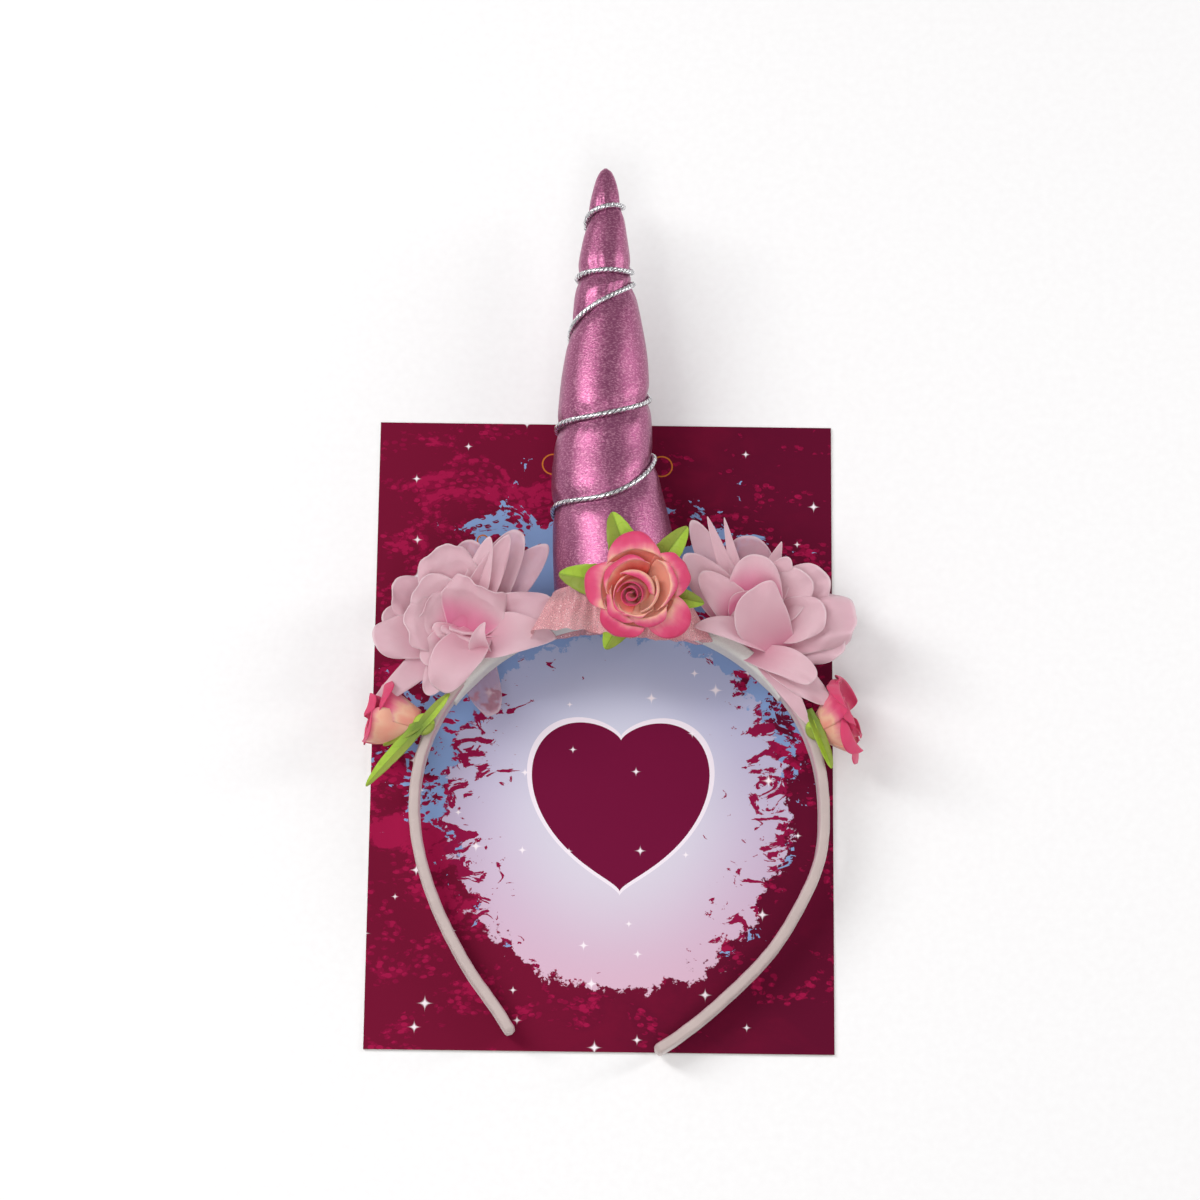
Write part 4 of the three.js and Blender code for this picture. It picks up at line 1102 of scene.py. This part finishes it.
# Rosebuds that lie on the hoop: where round the arch, the way that each points, its petals and its leaves
bud = {
    "out": 2.1,  # from the middle of the hoop's wall to the bud's root
    "raise": -0.5,
    "leafTurn": 0.2,  # how much of the bud's own slant the leaves take
    "leafRaise": 5.36,
    "calyx": 3.4,  # radius of the seat under the leaves
    "seats": (4.5, 3.0),  # radius of the seats under the rings of petals
}
buds = {
    "left_bud": {
        "angle": 158,
        "axis": (-0.96, 0.22, 0.16),
        "shift": (0.0, 0.0),
        "neck": 0.55,
        "scroll": {"turns": 2.0, "start": 0, "radius": 3.2, "top": 18.6, "fall": 1.5, "blush": 0.75},
        "leaves": [
            (-134, 1.00, 0.00, 0.46, -0.4), (49, 0.47, 0.10, 0.36, -1.2), (-156, 0.56, -0.04, 0.36, 0.0),
        ],
        "outer": [
            (38, 130, 9.2, 18.4, 1.6, 0.8, 0.8, 0.02, 0.70, 0.8),
            (134, 120, 9.4, 16.6, 2.6, 2.8, 1.2, 0.00, 0.96, 0.5),
            (205, 110, 9.6, 17.0, 3.6, 3.6, 1.2, 0.00, 1.00, 0.5),
            (290, 130, 8.8, 17.8, 2.6, 1.4, 0.8, 0.02, 0.76, 0.8),
            (100, 84, 6.6, 20.4, 3.4, 2.4, 1.2, 0.00, 1.05, 0.5),
        ],
        "core": [
            (70, 170, 5.6, 18.2, 0.8, 0.4, 0.8, 0.15, 0.70, 0.4),
            (200, 170, 5.6, 17.8, 0.8, 0.4, 0.8, 0.15, 0.70, 0.4),
        ],
    },
    "right_bud": {
        "angle": 22,
        "axis": (0.88, 0.38, 0.28),
        "shift": (0.0, 0.0),
        "neck": 0.45,
        "scroll": {"turns": 2.0, "start": 0, "radius": 3.4, "top": 13.2, "fall": 1.5, "blush": 0.8},
        "leaves": [(-68, 0.50, 0.02, 0.36, -2.0)],
        "outer": [
            (44, 110, 12.0, 14.8, 2.4, 3.4, 1.4, 0.00, 1.02, 0.4),
            (128, 100, 11.2, 12.6, 3.2, 3.8, 1.4, 0.00, 0.92, 0.8),
            (196, 90, 10.8, 9.6, 4.0, 2.0, 1.4, 0.00, 0.74, 0.9),
            (270, 110, 10.4, 11.4, 2.8, 1.6, 1.0, 0.00, 0.80, 0.8),
            (342, 110, 12.0, 15.6, 2.4, 2.6, 1.0, 0.00, 1.00, 0.5),
            (86, 80, 8.8, 14.8, 3.2, 2.6, 1.2, 0.00, 1.05, 0.4),
        ],
        "core": [
            (60, 170, 7.0, 13.6, 1.4, 0.6, 0.8, 0.10, 0.92, 0.3),
            (200, 170, 6.8, 13.4, 1.4, 0.6, 0.8, 0.10, 0.92, 0.3),
        ],
    },
}
for number, (name, kind) in enumerate(buds.items()):
    foot = archPoint(math.radians(kind["angle"]), bud["out"])
    turned = kind["axis"][0] * bud["leafTurn"], kind["axis"][1] * bud["leafTurn"], 1
    place = flowerFrame(foot + (0, 0, bud["leafRaise"]), turned)
    calyx = Surface()
    addLeaves(calyx, kind["leaves"], bud["calyx"], place, 400 + 20 * number)
    addSeat(calyx, bud["calyx"], 0, place)
    thicken(calyx.piece(name + "_leaves", leafCloth, "leaf_cloth", [name + "_calyx"]), leaves["wall"])
    roseRings(name, [
        ("outer_petals", kind["outer"], bud["seats"][0], 1, name + "_outer"),
        ("core_petals", kind["core"], bud["seats"][1], 2, name + "_core"),
    ], flowerFrame(foot + (0, 0, bud["raise"]), kind["axis"]), kind, 500 + 20 * number)
print("buds set")


printed = {
    "panel": (5, -26, 55, 60),  # middle across and up, and half its width and height
    "halo": (8, 60, 72),  # the blue patches' middle up the card, and half their width and height
    "heart": (6, -28, 25.0, 26.4),  # middle, its size, and its size with the pale line round it
    "rings": [(-17.2, 91.1, 3.45), (18.4, 90.8, 3.45), (-39.7, 64.4, 1.75)],  # middle and radius
    "ringLine": 0.24,  # half the width of a ring's line
    "front": 0.75,  # the print begins this far up through the board
}


# Printed card: crimson clouds and specks on maroon, a pale round panel with a heart on it, blue patches round
# the panel, thin orange rings, and four-point sparkles; bare grey board behind and at the edges
def cardFill(start):
    place = objectPlace(start)
    x, y, z = place.part(0), place.part(1), place.part(2)
    flat = {"voronoi_dimensions": "2D"}
    clouds = place.stretch(1, 1.5, 1).noise(0.05, 6, 0.66, 0.5)
    specks = place.node("TexVoronoi", flat, {"Vector": place.stretch(1, 1.5, 1), "Scale": 0.30})
    panelX, panelY, panelWide, panelTall = printed["panel"]
    across, up = (x - panelX) / panelWide, (y - panelY) / panelTall
    away = (across * across + up * up) ** 0.5
    haloY, haloWide, haloTall = printed["halo"]
    wide, tall = x / haloWide, (y - haloY) / haloTall
    halo = (wide * wide + tall * tall) ** 0.5
    blotches = clouds + specks.rise(0.34, 0.30) * 0.06 + (1.25 - halo) * 0.14 - wide * 0.035
    ground = (wide + (clouds - 0.5) * 3).rise(-0.6, 1.1).between(tint(0x720c2f), tint(0x5e092a))
    ground = blotches.rise(0.555, 0.57).between(ground, tint(0x850b38))
    ground = blotches.rise(0.60, 0.61).between(ground, tint(0x9e1244))
    patches = place.stretch(1, 1.3, 1).noise(0.07, 5, 0.66, 0.8) + specks.rise(0.32, 0.36) * 0.05
    blue = (patches + (1.08 - halo) * 0.5).rise(0.60, 0.61)
    ground = blue.between(ground, tint(0x86a2d0))
    rim = away + (place.noise(0.12, 5, 0.7) - 0.5) * 0.5
    branches = place.stretch(1.0, 1.6, 1.0).noise(0.11, 5, 0.62, 1.2)
    sprays = branches + (away - 1.0) * 0.3 + (abs(across) - 0.7) * 0.22
    panel = (up * 0.5 + 0.5).between(tint(0xd9b4c8), tint(0xaebbda))
    panel = (away.rise(0.95, 0.25) * 0.6).between(panel, tint(0xdfe2ea))
    panel = sprays.rise(0.54, 0.545).between(panel, tint(0x8f1142))
    card = rim.rise(1.0, 0.98).between(ground, panel)

    # Heart: the places where (a*a + b*b - 1)^3 - a*a*b^3 is below zero
    def heart(size):
        a, b = (x - printed["heart"][0]) / size, (y - printed["heart"][1]) / size
        return ((a * a + b * b - 1) ** 3 - a * a * b * b * b) < 0.0

    card = heart(printed["heart"][3]).between(card, tint(0xf0e6ef))
    card = heart(printed["heart"][2]).between(card, tint(0x6f0d37))
    # Rings: the places whose distance from a middle is near the radius
    for middleX, middleY, radius in printed["rings"]:
        a, b = x - middleX, y - middleY
        line = abs((a * a + b * b) ** 0.5 - radius) < printed["ringLine"]
        card = line.between(card, tint(0xc4702c))
    # Sparkles: where the square roots of both distances from a cell's own point add up to little
    cells = {"Vector": place, "Scale": 0.055, "Randomness": 1.0}
    middle = place.node("TexVoronoi", flat, cells, 2)
    chance = place.node("TexVoronoi", flat, cells, 1).part(0)
    offset = place.node("VectorMath", {"operation": "SUBTRACT"}, {0: place, 1: middle})
    star = abs(offset.part(0)) ** 0.5 + abs(offset.part(1)) ** 0.5
    sparkle = (chance > 0.4) * star.rise(0.9 + chance, 0.5 + chance * 0.6)
    card = sparkle.between(card, tint(0xf8eef4))
    grain = place.noise(1.5, 3)
    front = z > printed["front"]
    return {
        "Base Color": front.between(tint(0xc9c4bd), card),
        "Roughness": 0.72 - front * 0.22 + grain * 0.08,
        "bump": (grain, 0.12, 0.1),
    }


board = finish("printed_board", cardFill, **{"Specular IOR Level": 0.06})
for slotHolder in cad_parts["backing_card"].material_slots:
    slotHolder.material = board
print("card printed")
